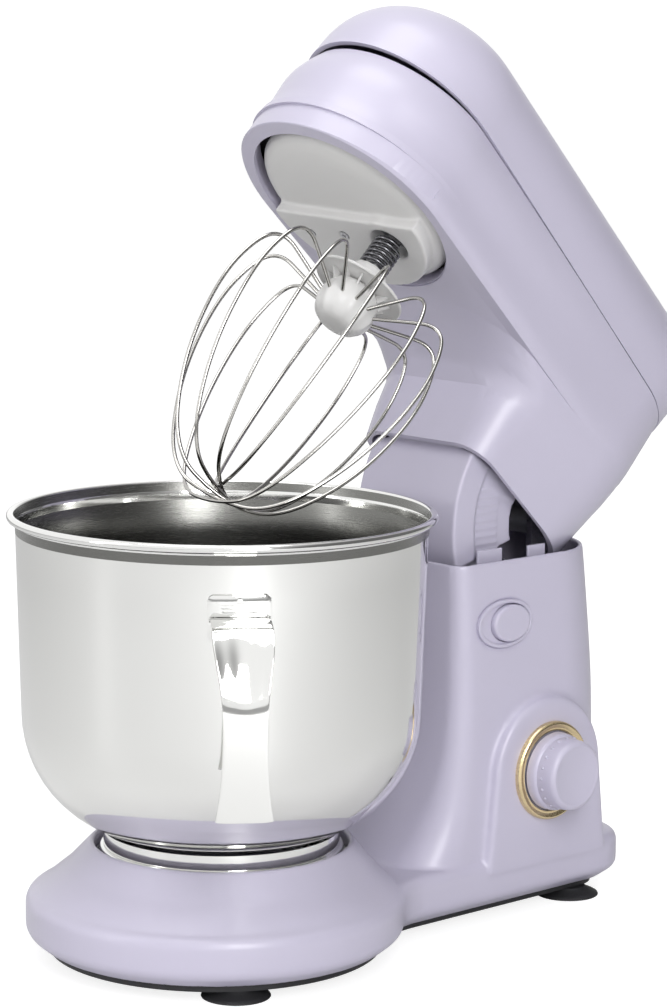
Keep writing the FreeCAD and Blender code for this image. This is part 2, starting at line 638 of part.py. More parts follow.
def bowl_foot_ring():
    c = V(BOWL_WAIST_R - BOWL_CURVE_R, 0, BOWL_FLOOR + BOWL_CURVE_R)
    r_in = FOOT_R - FOOT_WALL
    top = c.z - math.sqrt(BOWL_CURVE_R ** 2 - (r_in - c.x) ** 2) - 0.05
    ring = revolved([(r_in, FOOT_Z), (FOOT_R, FOOT_Z), (FOOT_R, 55.0),
                     (FOOT_R + 1.0, 55.8), (FOOT_R + 1.0, 57.6),
                     (FOOT_R, 58.4), (FOOT_R, top), (r_in, top)])
    for i in range(LUG_COUNT):
        lug = Part.makeCylinder(FOOT_R + LUG_REACH, LUG_HEIGHT, V(0, 0, FOOT_Z), V(0, 0, 1), LUG_ANGLE)
        lug = lug.cut(cylinder(FOOT_R - 0.5, 40, 60))
        lug.rotate(V(0, 0, 0), V(0, 0, 1), LUG_START + i * 360.0 / LUG_COUNT)
        ring = ring.fuse(lug)
    return ring


def turned_to_handle(shape):
    shape.rotate(V(0, 0, 0), V(0, 0, 1), HANDLE_ANGLE)
    return shape


def wall_radius(z):
    """Outside radius of the bowl's straight wall at height z."""
    z0 = BOWL_FLOOR + BOWL_CURVE_R
    share = (z - z0) / (BOWL_TOP - RIM_ROLL_R - z0)
    return BOWL_WAIST_R + share * (BOWL_SHOULDER_R - BOWL_WAIST_R)


def handle_strap():
    """Pressed strap: it leaves the bowl under the plate, runs down clear of the wall and returns below."""
    near, far = wall_radius(HANDLE_TOP) + GAP, BOWL_R + HANDLE_STAND_OFF - 6.0
    low_r = wall_radius(130.0) + GAP
    corners = [V(near, 0, HANDLE_TOP), V(near + 16, 0, HANDLE_TOP + 1.0), V(far - 4, 0, HANDLE_TOP - 18),
               V(far, 0, HANDLE_TOP - 40), V(far - 6, 0, HANDLE_LOW), ]
    path = rounded_path(corners)
    half = HANDLE_W_TOP / 2
    section = Part.makePolygon([
        V(near, -half, HANDLE_TOP - HANDLE_T / 2), V(near, half, HANDLE_TOP - HANDLE_T / 2),
        V(near, half, HANDLE_TOP + HANDLE_T / 2), V(near, -half, HANDLE_TOP + HANDLE_T / 2),
        V(near, -half, HANDLE_TOP - HANDLE_T / 2)])
    strap = path.makePipeShell([section], True, False)
    width = [(HANDLE_TOP + 10, HANDLE_W_TOP), (HANDLE_TOP - 12, HANDLE_W_TOP), (HANDLE_TOP - 45, HANDLE_W_MID),
             (HANDLE_LOW + 25, HANDLE_W_MID + 2), (HANDLE_LOW - 10, HANDLE_W_LOW)]
    outline = [V(0, w / 2, z) for z, w in width] + [V(0, -w / 2, z) for z, w in reversed(width)]
    keep = Part.Face(Part.makePolygon(outline + [outline[0]])).extrude(V(200, 0, 0))
    strap = strap.common(keep)
    bracket_path = rounded_path([V(low_r, 0, 128.0), V(low_r + 14, 0, 126.0), V(far - 7.2, 0, 108.0)])
    s = 8.0
    sect = Part.makePolygon([V(low_r, -s, 127.2), V(low_r, s, 127.2), V(low_r, s, 128.8), V(low_r, -s, 128.8),
                             V(low_r, -s, 127.2)])
    bracket = bracket_path.makePipeShell([sect], True, False)
    return turned_to_handle(joined([strap, bracket]))


def handle_plate():
    """Plate welded to the bowl over the top of the strap."""
    low = HANDLE_TOP - 11.0
    high = low + PLATE_H
    near = wall_radius(low)
    plate = box(near + 0.5, near + 12, -PLATE_W / 2, PLATE_W / 2, low, high)
    r_low, r_high = wall_radius(low) + GAP + PLATE_T, wall_radius(high) + GAP + PLATE_T
    outer = Part.makeCone(r_low, r_high, PLATE_H, V(0, 0, low))
    inner = Part.makeCone(wall_radius(low) + GAP, wall_radius(high) + GAP, PLATE_H, V(0, 0, low))
    plate = plate.common(outer.cut(inner))
    slot = box(near - 5, near + 30, -HANDLE_W_TOP / 2 - 0.3, HANDLE_W_TOP / 2 + 0.3,
               HANDLE_TOP - HANDLE_T / 2 - 0.3, HANDLE_TOP + HANDLE_T / 2 + 0.6)
    return turned_to_handle(plate.cut(slot))


# ---------------------------------------------------------------- head shells
def boat_outline(z, nose_r, half, rear, corner, inset):
    """Plan of the head at one level: round nose, slightly spreading sides, round rear corners."""
    r = nose_r - inset
    h = half - inset
    c = max(corner - inset, 6.0)
    end = rear - inset
    return Part.Wire([
        arc((0, HEAD_NOSE_Y), r, 180, 360, z),
        line(V(r, HEAD_NOSE_Y, z), V(h, end - c, z)),
        arc((h - c, end - c), c, 0, 90, z),
        line(V(h - c, end, z), V(c - h, end, z)),
        arc((c - h, end - c), c, 90, 180, z),
        line(V(-h, end - c, z), V(-r, HEAD_NOSE_Y, z)),
    ])


def seam_block(below, offset=0.0):
    """Large block under or over the sloping seam plane."""
    size = 500.0
    block = box(-size, size, -size, size, -size if below else 0.0, 0.0 if below else size)
    block.rotate(V(0, 0, 0), V(1, 0, 0), -SEAM_SLOPE)
    block.translate(V(0, 0, SEAM_Z + offset))
    return block


def lower_body(shrink):
    rows = BOAT_ROWS
    if shrink:
        z, r, h = BOAT_ROWS[1]
        rows = [(BOAT_ROWS[0][0] + shrink, r, h)] + BOAT_ROWS[2:]
    boat = loft([boat_outline(z, r, h, HEAD_REAR, HEAD_CORNER, shrink) for z, r, h in rows])
    tail = loft([
        rounded_outline(half - shrink, front + 1.15 * shrink, rear - shrink, a, b, z)
        for z, half, front, rear, a, b in TAIL_ROWS
    ], True)
    if shrink:
        z, half, front, rear, a, b = TAIL_ROWS[0]
        mouth = loft([rounded_outline(half - shrink, front + 1.15 * shrink, rear - shrink, a, b, k)
                      for k in (z - 2.0, z + 0.01)], True)
        return joined([boat, tail, mouth])
    return joined([boat, tail])


def head_lower_shell():
    shell = lower_body(0.0).cut(lower_body(WALL))
    shell = shell.cut(cylinder(OPENING_R, 240, 262))
    shell = shell.common(seam_block(True, -SEAM_GAP / 2))
    return shell


def cover_body(shrink):
    """Top cover: one plan drawn in and up along a quarter circle."""
    wires = []
    base_z = HEAD_TOP - TOP_ROUND
    for step in range(0, 8):
        a = math.radians(12.0 * step)
        inset = TOP_ROUND * (1 - math.cos(a)) + shrink * math.cos(a)
        z = base_z + (TOP_ROUND - shrink) * math.sin(a)
        wires.append(boat_outline(z, 61.6, 60.6, COVER_REAR, HEAD_CORNER + 3.0, inset))
    dome = loft(wires)
    skirt = loft([
        boat_outline(SEAM_Z - 20.0, 62.6, 60.6, COVER_REAR - 3.0, HEAD_CORNER + 3.0, shrink),
        boat_outline(base_z, 61.6, 60.6, COVER_REAR, HEAD_CORNER + 3.0, shrink),
    ], True)
    cover = joined([skirt, dome])
    cover.rotate(V(0, HEAD_NOSE_Y, SEAM_Z), V(1, 0, 0), -COVER_SLOPE)
    return cover


def head_top_cover():
    return cover_body(0.0).cut(cover_body(WALL)).common(seam_block(False, SEAM_GAP / 2))


def neck_cover():
    """Drum-shaped cover that closes the gap under the head when it is open."""
    drum = wedge_between(NECK_R, 0.0, NECK_FROM, NECK_TO, -NECK_HALF, NECK_HALF)
    half = NECK_HALF - WALL
    inside = wedge_between(NECK_R - WALL, 0.0, NECK_FROM + 20, NECK_TO - 20, -half, half)
    shell = drum.cut(inside)
    for side in (-1, 1):
        x0 = NECK_HALF - 1.2 if side > 0 else -NECK_HALF - 1.0
        pocket = wedge_between(NECK_R - 16.0, 0.0, NECK_FROM - 12, NECK_TO - 12, x0, x0 + 2.2)
        shell = shell.cut(pocket)
    shell = shell.cut(x_cylinder(30.0, -60, 60, PIVOT_Y, PIVOT_Z))
    front = TAIL_ROWS[0][2] + 1.15 * WALL + GAP
    flange = box(-28, 28, front, PIVOT_Y - NECK_R + 6.0, 200.0, 203.0)
    return shell.fuse(flange)


def wedge_between(r, r_in, a0, a1, x0, x1):
    """Part of a cylinder about the hinge pin between two angles measured upward from straight ahead (-Y)."""
    points = [V(x0, PIVOT_Y, PIVOT_Z)]
    reach = 3.0 * r
    steps = 8
    for i in range(steps + 1):
        a = math.radians(a0 + (a1 - a0) * i / steps)
        points.append(V(x0, PIVOT_Y - reach * math.cos(a), PIVOT_Z + reach * math.sin(a)))
    fan = Part.Face(Part.makePolygon(points + [points[0]])).extrude(V(x1 - x0, 0, 0))
    solid = fan.common(x_cylinder(r, x0, x1, PIVOT_Y, PIVOT_Z))
    if r_in:
        solid = solid.cut(x_cylinder(r_in, x0 - 1, x1 + 1, PIVOT_Y, PIVOT_Z))
    return solid


def opening_trim():
    """Dark sealing ring inside the nose opening, above the planetary cover."""
    return tube(BOAT_ROWS[2][1] - WALL - 1.2, OPENING_R - 0.6, 262.5, 266.0)


# ---------------------------------------------------------------- head structure and drive
DECK_LOW, DECK_TOP = 276.0, 281.0


def head_frame():
    """Cast frame: deck, gearbox housing, motor seat and the two legs with the hinge barrel."""
    inset = WALL + GAP
    deck = loft([boat_outline(z, 64.8, 60.7, HEAD_REAR, HEAD_CORNER, inset) for z in (DECK_LOW, DECK_TOP)], True)
    deck = deck.cut(cylinder(STATOR_R + 1.0, DECK_LOW - 1, DECK_TOP + 1, 0, MOTOR_Y))
    boss = cylinder(20.0, DECK_LOW - 2.0, 284.0)
    seat_r = MODULE * RING_TEETH / 2 + RING_RIM
    ring_seat = tube(seat_r + RING_SEAT, seat_r + RUN, 263.0, DECK_LOW + 0.1)
    jack_boss = cylinder(9.0, 274.0, 284.0, 0, JACK_Y)
    shapes = [deck, boss, ring_seat, jack_boss]
    for side in (-1, 1):
        x0 = EAR_X - 6.0 if side > 0 else -EAR_X + 2.0
        leg = box(x0, x0 + 4.0, PIVOT_Y - 9.0, PIVOT_Y + 12.0, PIVOT_Z, DECK_LOW + 0.5)
        eye = x_cylinder(BARREL_R, x0, x0 + 4.0, PIVOT_Y, PIVOT_Z)
        shapes += [leg, eye]
    barrel = x_cylinder(BARREL_R, -EAR_X + DIP, EAR_X - DIP, PIVOT_Y, PIVOT_Z)
    frame = joined(shapes + [barrel])
    frame = frame.cut(x_cylinder(PIN_R + RUN, -60, 60, PIVOT_Y, PIVOT_Z))
    frame = frame.cut(cylinder(13.0 + 0.02, 272.0, 283.0)).cut(cylinder(8.0, 260, 290))
    frame = frame.cut(cylinder(6.0 + 0.02, 272.0, 280.0, 0, JACK_Y)).cut(cylinder(4.0, 260, 290, 0, JACK_Y))
    return frame


def gearbox_cover():
    """Bridge over the gears that carries the upper bearings."""
    nose, half, rear = MODULE * MAIN_TEETH / 2 + 6.0, MODULE * MAIN_TEETH / 2 + 10.0, JACK_Y + 16.0

    def box_wall(inset, z0, z1):
        return loft([boat_outline(z, nose, half, rear, 12.0, inset) for z in (z0, z1)], True)

    plate = box_wall(0.0, 300.5, 303.5)
    wall = box_wall(0.0, DECK_TOP + DIP, 301.0)
    hollow = box_wall(GEAR_BOX_WALL, DECK_TOP - 1, 300.6)
    cover = joined([wall.cut(hollow), plate])
    for y in (0.0, JACK_Y):
        cover = cover.fuse(cylinder(11.0, 300.6, 306.0, 0, y))
        cover = cover.cut(cylinder(8.0 + 0.02, 290.0, 305.0, 0, y)).cut(cylinder(5.6, 290, 310, 0, y))
    return cover


def bearings():
    shapes = [tube(13.0, 6.0 + RUN, 274.0, 282.0)]
    shapes.append(tube(6.0, 3.0 + RUN, 275.0, 279.8, 0, JACK_Y))
    for y, r in ((0.0, 5.0), (JACK_Y, 3.0)):
        shapes.append(tube(8.0, r + RUN, 301.0, 304.8, 0, y))
    return Part.makeCompound(shapes)


def ring_gear():
    blank = cylinder(MODULE * RING_TEETH / 2 + RING_RIM, 263.2, 273.0)
    return blank.cut(gear(RING_TEETH, 262.0, 274.0, inner=True, turn=BEATER_PHASE))


def main_shaft():
    shaft = joined([cylinder(6.0, 256.5, 284.5), cylinder(5.0, 284.4, 305.5)])
    return shaft


def main_gear():
    wheel = gear(MAIN_TEETH, 286.0, 294.0, turn=90.0)
    wheel = wheel.cut(tube(24.0, 12.0, 291.0, 295.0)).cut(tube(24.0, 12.0, 285.0, 288.5))
    return wheel.cut(cylinder(5.0 + 0.01, 280, 300))


def carrier():
    """Arm that carries the beater shaft round the main shaft."""
    arm = joined([cylinder(14.0, 256.0, 262.0), cylinder(13.0, 252.0, 262.0, BEATER_X, BEATER_Y)])
    bar = box(0, ORBIT_R, -11.0, 11.0, 256.0, 262.0)
    bar.rotate(V(0, 0, 0), V(0, 0, 1), BEATER_PHASE)
    weight = box(-30.0, 0, -14.0, 14.0, 256.0, 262.0)
    weight.rotate(V(0, 0, 0), V(0, 0, 1), BEATER_PHASE)
    arm = joined([arm, bar, weight]).cut(cylinder(6.0 + 0.01, 256.4, 270))
    return arm.cut(cylinder(5.0 + RUN, 240, 270, BEATER_X, BEATER_Y))


def island(r, z0, z1, edge, boss_r):
    """D-shaped raised part of the planetary cover: a disc cut along a chord, with the boss of the shaft."""
    disc = Part.makeCylinder(r, z1 - z0, V(0, 0, z0))
    chord = box(-80, 80, -80, edge, z0 - 1, z1 + 1)
    chord.rotate(V(0, 0, 0), V(0, 0, 1), ISLAND_TURN)
    return disc.cut(chord).fuse(cylinder(boss_r, z0, z1, BEATER_X, BEATER_Y))


def planetary_cover():
    """Round cover with a raised D-shaped island and the boss round the beater shaft."""
    rim = revolved([(0, 249.0), (44.0, 249.0), (52.0, 250.5), (55.0, 252.6), (COVER_R, 255.6), (COVER_R, 259.0),
                    (COVER_R - 3.0, 259.0), (COVER_R - 3.0, 254.5), (46.0, 252.0), (0, 252.0)])
    cover = joined([rim, island(51.0, 243.0, 251.5, ISLAND_EDGE, 17.0)])
    hollow = island(51.0 - WALL, 243.0 + WALL, 258.0, ISLAND_EDGE + WALL, 17.0 - WALL)
    cover = cover.cut(hollow.common(cylinder(60, 240, 252.1)))
    cover = cover.cut(cylinder(10.0, 240.0, 260.0, BEATER_X, BEATER_Y))
    for x, y in COVER_SCREWS:
        post = cylinder(3.4, 244.0, 256.0 - DIP, x, y)
        cover = cover.fuse(post).cut(cylinder(1.52, 240.0, 251.0, x, y)).cut(cylinder(3.0, 240.0, 244.2, x, y))
    return cover


def beater_shaft():
    shaft = cylinder(5.0, 196.0, 275.0, BEATER_X, BEATER_Y)
    pin = Part.makeCylinder(1.5, 16.0, V(BEATER_X - 8.0, BEATER_Y, 206.0), V(1, 0, 0))
    return shaft.fuse(pin)


def planet_pinion():
    wheel = gear(PLANET_TEETH, 263.6, 272.6, BEATER_X, BEATER_Y, BEATER_PHASE)
    return wheel.cut(cylinder(5.01, 260, 280, BEATER_X, BEATER_Y))


def beater_spring():
    """Sleeve that stands for the coil that presses the whisk down on its cross pin."""
    return tube(8.4, 6.6, 225.4, 244.0, BEATER_X, BEATER_Y)


def beater_collar():
    return tube(10.5, 5.02, 214.6, 225.2, BEATER_X, BEATER_Y)


def whisk_hub():
    """Hub with a shield disc on top and twelve shallow lobes."""
    disc = revolved([(0, 212.6), (25.5, 213.4), (25.5, 214.2), (10.0, 214.4), (0, 214.4)], BEATER_X, BEATER_Y)
    body = revolved([(0, 188.0), (9.0, 188.0), (14.0, 190.5), (17.0, 196.0), (17.0, 205.0), (14.0, 213.0),
                     (0, 213.0)], BEATER_X, BEATER_Y)
    hub = disc.fuse(body)
    for i in range(2 * WIRE_LOOPS):
        a = math.radians(30.0 * i + 15.0)
        groove = cylinder(2.2, 180, 211.0, BEATER_X + 18.2 * math.cos(a), BEATER_Y + 18.2 * math.sin(a))
        hub = hub.cut(groove)
    hub = hub.cut(cylinder(5.0 + RUN, 195.5, 220, BEATER_X, BEATER_Y))
    slot = Part.makeCylinder(1.9, 17.0, V(BEATER_X - 8.5, BEATER_Y, 206.0), V(1, 0, 0))
    path = box(BEATER_X - 8.5, BEATER_X + 8.5, BEATER_Y - 1.9, BEATER_Y + 1.9, 206.0, 220.0)
    return hub.cut(slot).cut(path)


def whisk_wires():
    """Bent wire loops; each crosses the whisk's axis a little above the last one."""
    loops = []
    for i in range(WIRE_LOOPS):
        low = 75.0 + WIRE_STACK * i
        half = [(17.6, 201.0), (47.0, 213.0), (62.0, 172.0), (53.0, 124.0), (30.0, low + 2.0)]
        points = half + [(0.0, low - 4.0)] + [(-r, z) for r, z in reversed(half)]
        path = rounded_path([V(r, 0, z) for r, z in points])
        loop = rod(path, WIRE_R)
        loop.rotate(V(0, 0, 0), V(0, 0, 1), 30.0 * i)
        loop.translate(V(BEATER_X, BEATER_Y, 0))
        loops.append(loop)
    return Part.makeCompound(loops)


def motor_stator():
    body = tube(STATOR_R, ROTOR_R + 0.8, 244.0, 282.0, 0, MOTOR_Y)
    ends = ((238.0, 244.5), (281.5, 288.0))
    coils = [tube(ROTOR_R + 10.0, ROTOR_R + 1.4, z0, z1, 0, MOTOR_Y) for z0, z1 in ends]
    return joined([body] + coils)


def motor_clamps():
    """Two bridges that hold the motor to the deck and carry its bearings."""
    shapes = []
    for z0, z1, hub_low in ((231.0, 234.0, 228.0), (306.0, 309.0, 303.0)):
        bridge = box(-44.0, 44.0, MOTOR_Y - 7.0, MOTOR_Y + 7.0, z0, z1)
        hub = cylinder(8.0, hub_low, z1, 0, MOTOR_Y)
        legs = []
        for side in (-1, 1):
            x0 = 39.0 if side > 0 else -44.0
            low, high = (z0, DECK_LOW - DIP) if z0 < DECK_LOW else (DECK_TOP + DIP, z1)
            legs.append(box(x0, x0 + 5.0, MOTOR_Y - 7.0, MOTOR_Y + 7.0, low, high))
        shapes.append(joined([bridge, hub] + legs).cut(cylinder(3.0 + RUN, 220, 320, 0, MOTOR_Y)))
    return Part.makeCompound(shapes)


def rotor_core():
    core = cylinder(ROTOR_R, 246.0, 280.0, 0, MOTOR_Y)
    shaft = cylinder(3.0, 222.5, 326.5, 0, MOTOR_Y)
    body = core.fuse(shaft)
    for i in range(12):
        a = math.radians(30.0 * i)
        slot = box(ROTOR_R - 4.0, ROTOR_R + 2.0, -0.8, 0.8, 240, 290)
        slot.rotate(V(0, 0, 0), V(0, 0, 1), math.degrees(a))
        slot.translate(V(0, MOTOR_Y, 0))
        body = body.cut(slot)
    return body


def commutator():
    return tube(10.0, 3.01, 290.0, 302.0, 0, MOTOR_Y)


def brush_holders():
    shapes = []
    for side in (-1, 1):
        x0 = 10.4 if side > 0 else -30.4
        brush = box(x0, x0 + 20.0, MOTOR_Y - 4.0, MOTOR_Y + 4.0, 292.0, 300.0)
        arm_x = 24.0 if side > 0 else -28.0
        post = box(arm_x, arm_x + 4.0, MOTOR_Y - 4.0, MOTOR_Y + 4.0, 299.5, 306.0 - DIP)
        shapes.append(brush.fuse(post))
    return Part.makeCompound(shapes)


def cooling_fan():
    hub = cylinder(7.0, 235.0, 237.0, 0, MOTOR_Y)
    disc = cylinder(22.0, 235.0, 236.2, 0, MOTOR_Y)
    fan = hub.fuse(disc)
    return fan.cut(cylinder(3.01, 230, 240, 0, MOTOR_Y))


PULLEY_LOW, PULLEY_TOP = 315.0, 326.0


def pulley(r, y, bore):
    rim = r + 1.5
    body = revolved([(0, PULLEY_LOW), (rim, PULLEY_LOW), (rim, PULLEY_LOW + 1.2), (r, PULLEY_LOW + 1.2),
                     (r, PULLEY_TOP - 1.2), (rim, PULLEY_TOP - 1.2), (rim, PULLEY_TOP), (0, PULLEY_TOP)], 0, y)
    return body.cut(cylinder(bore + 0.01, 300, 340, 0, y))


def belt_loop(r_small, r_big, z0, z1):
    """Solid inside of a belt round both pulleys: two discs and the wedge between their tangents."""
    span = MOTOR_Y - JACK_Y
    lean = math.asin((r_big - r_small) / span)
    c, s = math.cos(lean), math.sin(lean)
    quad = [V(c * r_big, JACK_Y + s * r_big, z0), V(c * r_small, MOTOR_Y + s * r_small, z0),
            V(-c * r_small, MOTOR_Y + s * r_small, z0), V(-c * r_big, JACK_Y + s * r_big, z0)]
    wedge = Part.Face(Part.makePolygon(quad + [quad[0]])).extrude(V(0, 0, z1 - z0))
    return joined([wedge, cylinder(r_big, z0, z1, 0, JACK_Y), cylinder(r_small, z0, z1, 0, MOTOR_Y)])


def drive_belt():
    z0, z1 = PULLEY_LOW + 1.5, PULLEY_TOP - 1.5
    outer = belt_loop(PULLEY_SMALL_R + 1.9, PULLEY_BIG_R + 1.9, z0, z1)
    return outer.cut(belt_loop(PULLEY_SMALL_R + 0.15, PULLEY_BIG_R + 0.15, z0 - 1, z1 + 1))


def jack_shaft():
    return cylinder(3.0, 273.8, 326.5, 0, JACK_Y)


def jack_pinion():
    wheel = gear(JACK_TEETH, 285.5, 294.5, 0, JACK_Y, turn=-90.0 + 180.0 / JACK_TEETH)
    return wheel.cut(cylinder(3.01, 280, 300, 0, JACK_Y))


def cover_screws():
    return Part.makeCompound([screw(x, y, 243.1, 6.0, 1.5, False) for x, y in COVER_SCREWS])


# ---------------------------------------------------------------- assembly
def build():
    add("stand_housing", stand_housing(), "stand")
    add("base_plate", base_plate(), "stand")
    add("suction_feet", suction_feet(), "stand")
    plate_screws = [screw(x, y, PLATE_LOW + 0.1, 8.0) for x, y in PLATE_SCREWS]
    add("base_screws", Part.makeCompound(plate_screws), "stand")
    add("bowl_lock_plate", bowl_lock_plate(), "stand")
    screws = [screw(x, y, FOOT_Z - 0.5 + 1.4, 4.0, 2.0, True) for x, y in lock_screws()]
    add("lock_plate_screws", Part.makeCompound(screws), "stand")
    add("hinge_bracket", hinge_bracket(), "stand")
    add("hinge_pin", hinge_pin(), "stand")
    add("column_tabs", column_tabs(), "stand")
    add("control_board", control_board(), "stand")
    add("board_parts", board_parts(), "stand")
    add("speed_switch", speed_switch(), "stand")
    add("knob_ring", knob_ring(), "stand")
    add("inlet_gland", inlet_gland(), "stand")
    add("button_bezel", button_bezel(), "stand")
    add("release_button", release_button(), "button")
    add("latch_rod", latch_rod(), "button")
    add("button_spring", button_spring(), "button")
    add("speed_knob", speed_knob(), "knob")
    add("knob_shaft", knob_shaft(), "knob")
    add("bowl", bowl(), "bowl")
    add("bowl_foot_ring", bowl_foot_ring(), "bowl")
    add("bowl_handle", handle_strap(), "bowl")
    add("handle_plate", handle_plate(), "bowl")
    add("head_lower_shell", head_lower_shell(), "head")
    add("head_top_cover", head_top_cover(), "head")
    add("neck_cover", neck_cover(), "head")
    add("opening_trim", opening_trim(), "head")
    add("head_frame", head_frame(), "head")
    add("gearbox_cover", gearbox_cover(), "head")
    add("bearings", bearings(), "head")
    add("ring_gear", ring_gear(), "head")
    add("motor_stator", motor_stator(), "head")
    add("motor_clamps", motor_clamps(), "head")
    add("brush_holders", brush_holders(), "head")
    add("drive_belt", drive_belt(), "head")
    add("main_shaft", main_shaft(), "planetary")
    add("main_gear", main_gear(), "planetary")
    add("carrier", carrier(), "planetary")
    add("planetary_cover", planetary_cover(), "planetary")
    add("cover_screws", cover_screws(), "planetary")
    add("beater_shaft", beater_shaft(), "beater")
    add("planet_pinion", planet_pinion(), "beater")
    add("beater_spring", beater_spring(), "beater")
    add("beater_collar", beater_collar(), "beater")
    add("whisk_hub", whisk_hub(), "whisk")
    add("whisk_wires", whisk_wires(), "whisk")
    add("rotor_core", rotor_core(), "rotor")
    add("commutator", commutator(), "rotor")
    add("cooling_fan", cooling_fan(), "rotor")
    add("motor_pulley", pulley(PULLEY_SMALL_R, MOTOR_Y, 3.0), "rotor")
    add("jack_shaft", jack_shaft(), "jackshaft")
    add("belt_pulley", pulley(PULLEY_BIG_R, JACK_Y, 3.0), "jackshaft")
    add("jack_pinion", jack_pinion(), "jackshaft")


HEAD_GROUPS = ("head", "planetary", "beater", "whisk", "rotor", "jackshaft")


def swing(shape):
    """Turn a piece of the head from its closed pose to its open one."""
    shape.rotate(V(0, PIVOT_Y, PIVOT_Z), V(1, 0, 0), -HEAD_OPEN)
    return shape


def swung(point):
    """A point of the head after the swing."""
    a = math.radians(-HEAD_OPEN)
    y, z = point[1] - PIVOT_Y, point[2] - PIVOT_Z
    turned_y, turned_z = y * math.cos(a) - z * math.sin(a), y * math.sin(a) + z * math.cos(a)
    return V(point[0], PIVOT_Y + turned_y, PIVOT_Z + turned_z)


def main():
    build()
    for node, (shape, group) in PARTS.items():
        if group in HEAD_GROUPS:
            swing(shape)
    whole = FreeCAD.BoundBox()
    for shape, _ in PARTS.values():
        whole.add(shape.optimalBoundingBox(False))
    shift = V(-whole.Center.x, -whole.Center.y, -whole.ZMin)
    os.makedirs("parts", exist_ok=True)
    for node, (shape, group) in PARTS.items():
        shape.translate(shift)
        shape.exportStep("parts/" + node + ".step")
        print("NODE", node, group, len(shape.Solids), shape.isValid(), round(shape.Volume))
    places = {"pivot": V(0, PIVOT_Y, PIVOT_Z), "bowl_axis": V(0, 0, 0),
              "planet_axis": swung((0, 0, 260)), "beater_axis": swung((BEATER_X, BEATER_Y, 206)),
              "jack_axis": swung((0, JACK_Y, 290)), "motor_axis": swung((0, MOTOR_Y, 260)),
              "knob_axis": V(POD_X, KNOB_Y, KNOB_Z), "button_axis": V(50, CAP_Y, BUTTON_Z)}
    for name, spot in places.items():
        spot = spot + shift
        print("PLACE", name, round(spot.x, 4), round(spot.y, 4), round(spot.z, 4))


main()
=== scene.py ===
"""Looks of a tilt-head stand mixer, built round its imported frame.

Sizes in the lists below are in millimetres from the bowl's axis on the table, with the head
lowered, and mm() turns them into the frame's metres. Head pieces are then swung open with the head.
"""

import json
import math

import bpy
from mathutils import Matrix, Vector


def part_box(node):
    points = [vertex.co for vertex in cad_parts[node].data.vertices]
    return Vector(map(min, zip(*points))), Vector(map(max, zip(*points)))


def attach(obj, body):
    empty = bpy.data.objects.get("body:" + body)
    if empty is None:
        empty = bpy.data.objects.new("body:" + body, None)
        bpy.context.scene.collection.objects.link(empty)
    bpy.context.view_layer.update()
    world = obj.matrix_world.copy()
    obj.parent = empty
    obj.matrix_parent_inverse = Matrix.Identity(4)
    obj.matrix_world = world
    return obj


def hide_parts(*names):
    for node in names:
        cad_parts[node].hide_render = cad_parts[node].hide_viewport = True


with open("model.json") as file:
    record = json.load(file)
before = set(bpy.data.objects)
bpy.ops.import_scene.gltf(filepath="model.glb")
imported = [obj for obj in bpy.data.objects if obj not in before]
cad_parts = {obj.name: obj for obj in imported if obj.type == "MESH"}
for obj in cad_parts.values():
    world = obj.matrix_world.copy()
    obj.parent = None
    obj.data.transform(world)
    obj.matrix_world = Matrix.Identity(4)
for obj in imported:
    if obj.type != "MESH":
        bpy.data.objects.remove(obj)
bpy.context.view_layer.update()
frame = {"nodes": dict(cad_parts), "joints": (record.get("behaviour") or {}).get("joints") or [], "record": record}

# ------------------------------------------------------------------ places taken from the frame
JOINTS = {j["name"]: j for j in frame["joints"]}
BOWL_LOW, BOWL_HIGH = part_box("bowl")
AXIS = Vector(((BOWL_LOW.x + BOWL_HIGH.x) / 2, (BOWL_LOW.y + BOWL_HIGH.y) / 2, 0.0))
PIVOT = Vector(JOINTS["head_tilt"]["pos_m"])
SWING = math.radians(JOINTS["head_tilt"]["range_deg"][1])
KNOB = Vector(JOINTS["speed_turn"]["pos_m"])

STANDING = Matrix.Translation(AXIS)
OPENED = (Matrix.Translation(PIVOT) @ Matrix.Rotation(-SWING, 4, "X") @ Matrix.Translation(-PIVOT) @ STANDING)

# camera
CAMERA_PLACE = (1228.1, -1048.6, 485.0)
CAMERA_TURN = 47.51          # degrees to the left of straight back
CAMERA_DIP = 8.79            # degrees below the horizon
CAMERA_ROLL = 0.51
CAMERA_LENS = 114.69
CAMERA_SENSOR = 36.0

# drive and whisk, head lowered
BEATER = (22.363, 16.851)    # beater shaft
WIRE_R = 1.0
WIRE_LOOPS = 6
ISLAND_TURN = 4.0            # lean of the cover's straight step
ISLAND_EDGE = -1.0
COVER_SCREWS = [(-8.0, 12.0), (-34.0, 12.0)]


def mm(*values):
    """Millimetres to the frame's metres."""
    scaled = tuple(v * 0.001 for v in values)
    return scaled[0] if len(scaled) == 1 else scaled


# ------------------------------------------------------------------ modelling helpers
def deselect():
    if bpy.context.mode != "OBJECT":
        bpy.ops.object.mode_set(mode="OBJECT")
    bpy.ops.object.select_all(action="DESELECT")


def only(obj):
    deselect()
    obj.select_set(True)
    bpy.context.view_layer.objects.active = obj
    return obj


def apply_modifiers(obj):
    only(obj)
    for modifier in list(obj.modifiers):
        bpy.ops.object.modifier_apply(modifier=modifier.name)
    return obj


def modify(obj, kind, **values):
    """Adds one modifier, sets it and applies it."""
    modifier = obj.modifiers.new(kind.lower(), kind)
    for key, value in values.items():
        setattr(modifier, key, value)
    return apply_modifiers(obj)


def seat(obj, place):
    """Bakes a placement into the mesh, so that the object itself stays at the origin."""
    only(obj)
    obj.matrix_world = place @ obj.matrix_world
    bpy.ops.object.transform_apply(location=True, rotation=True, scale=True)
    return obj


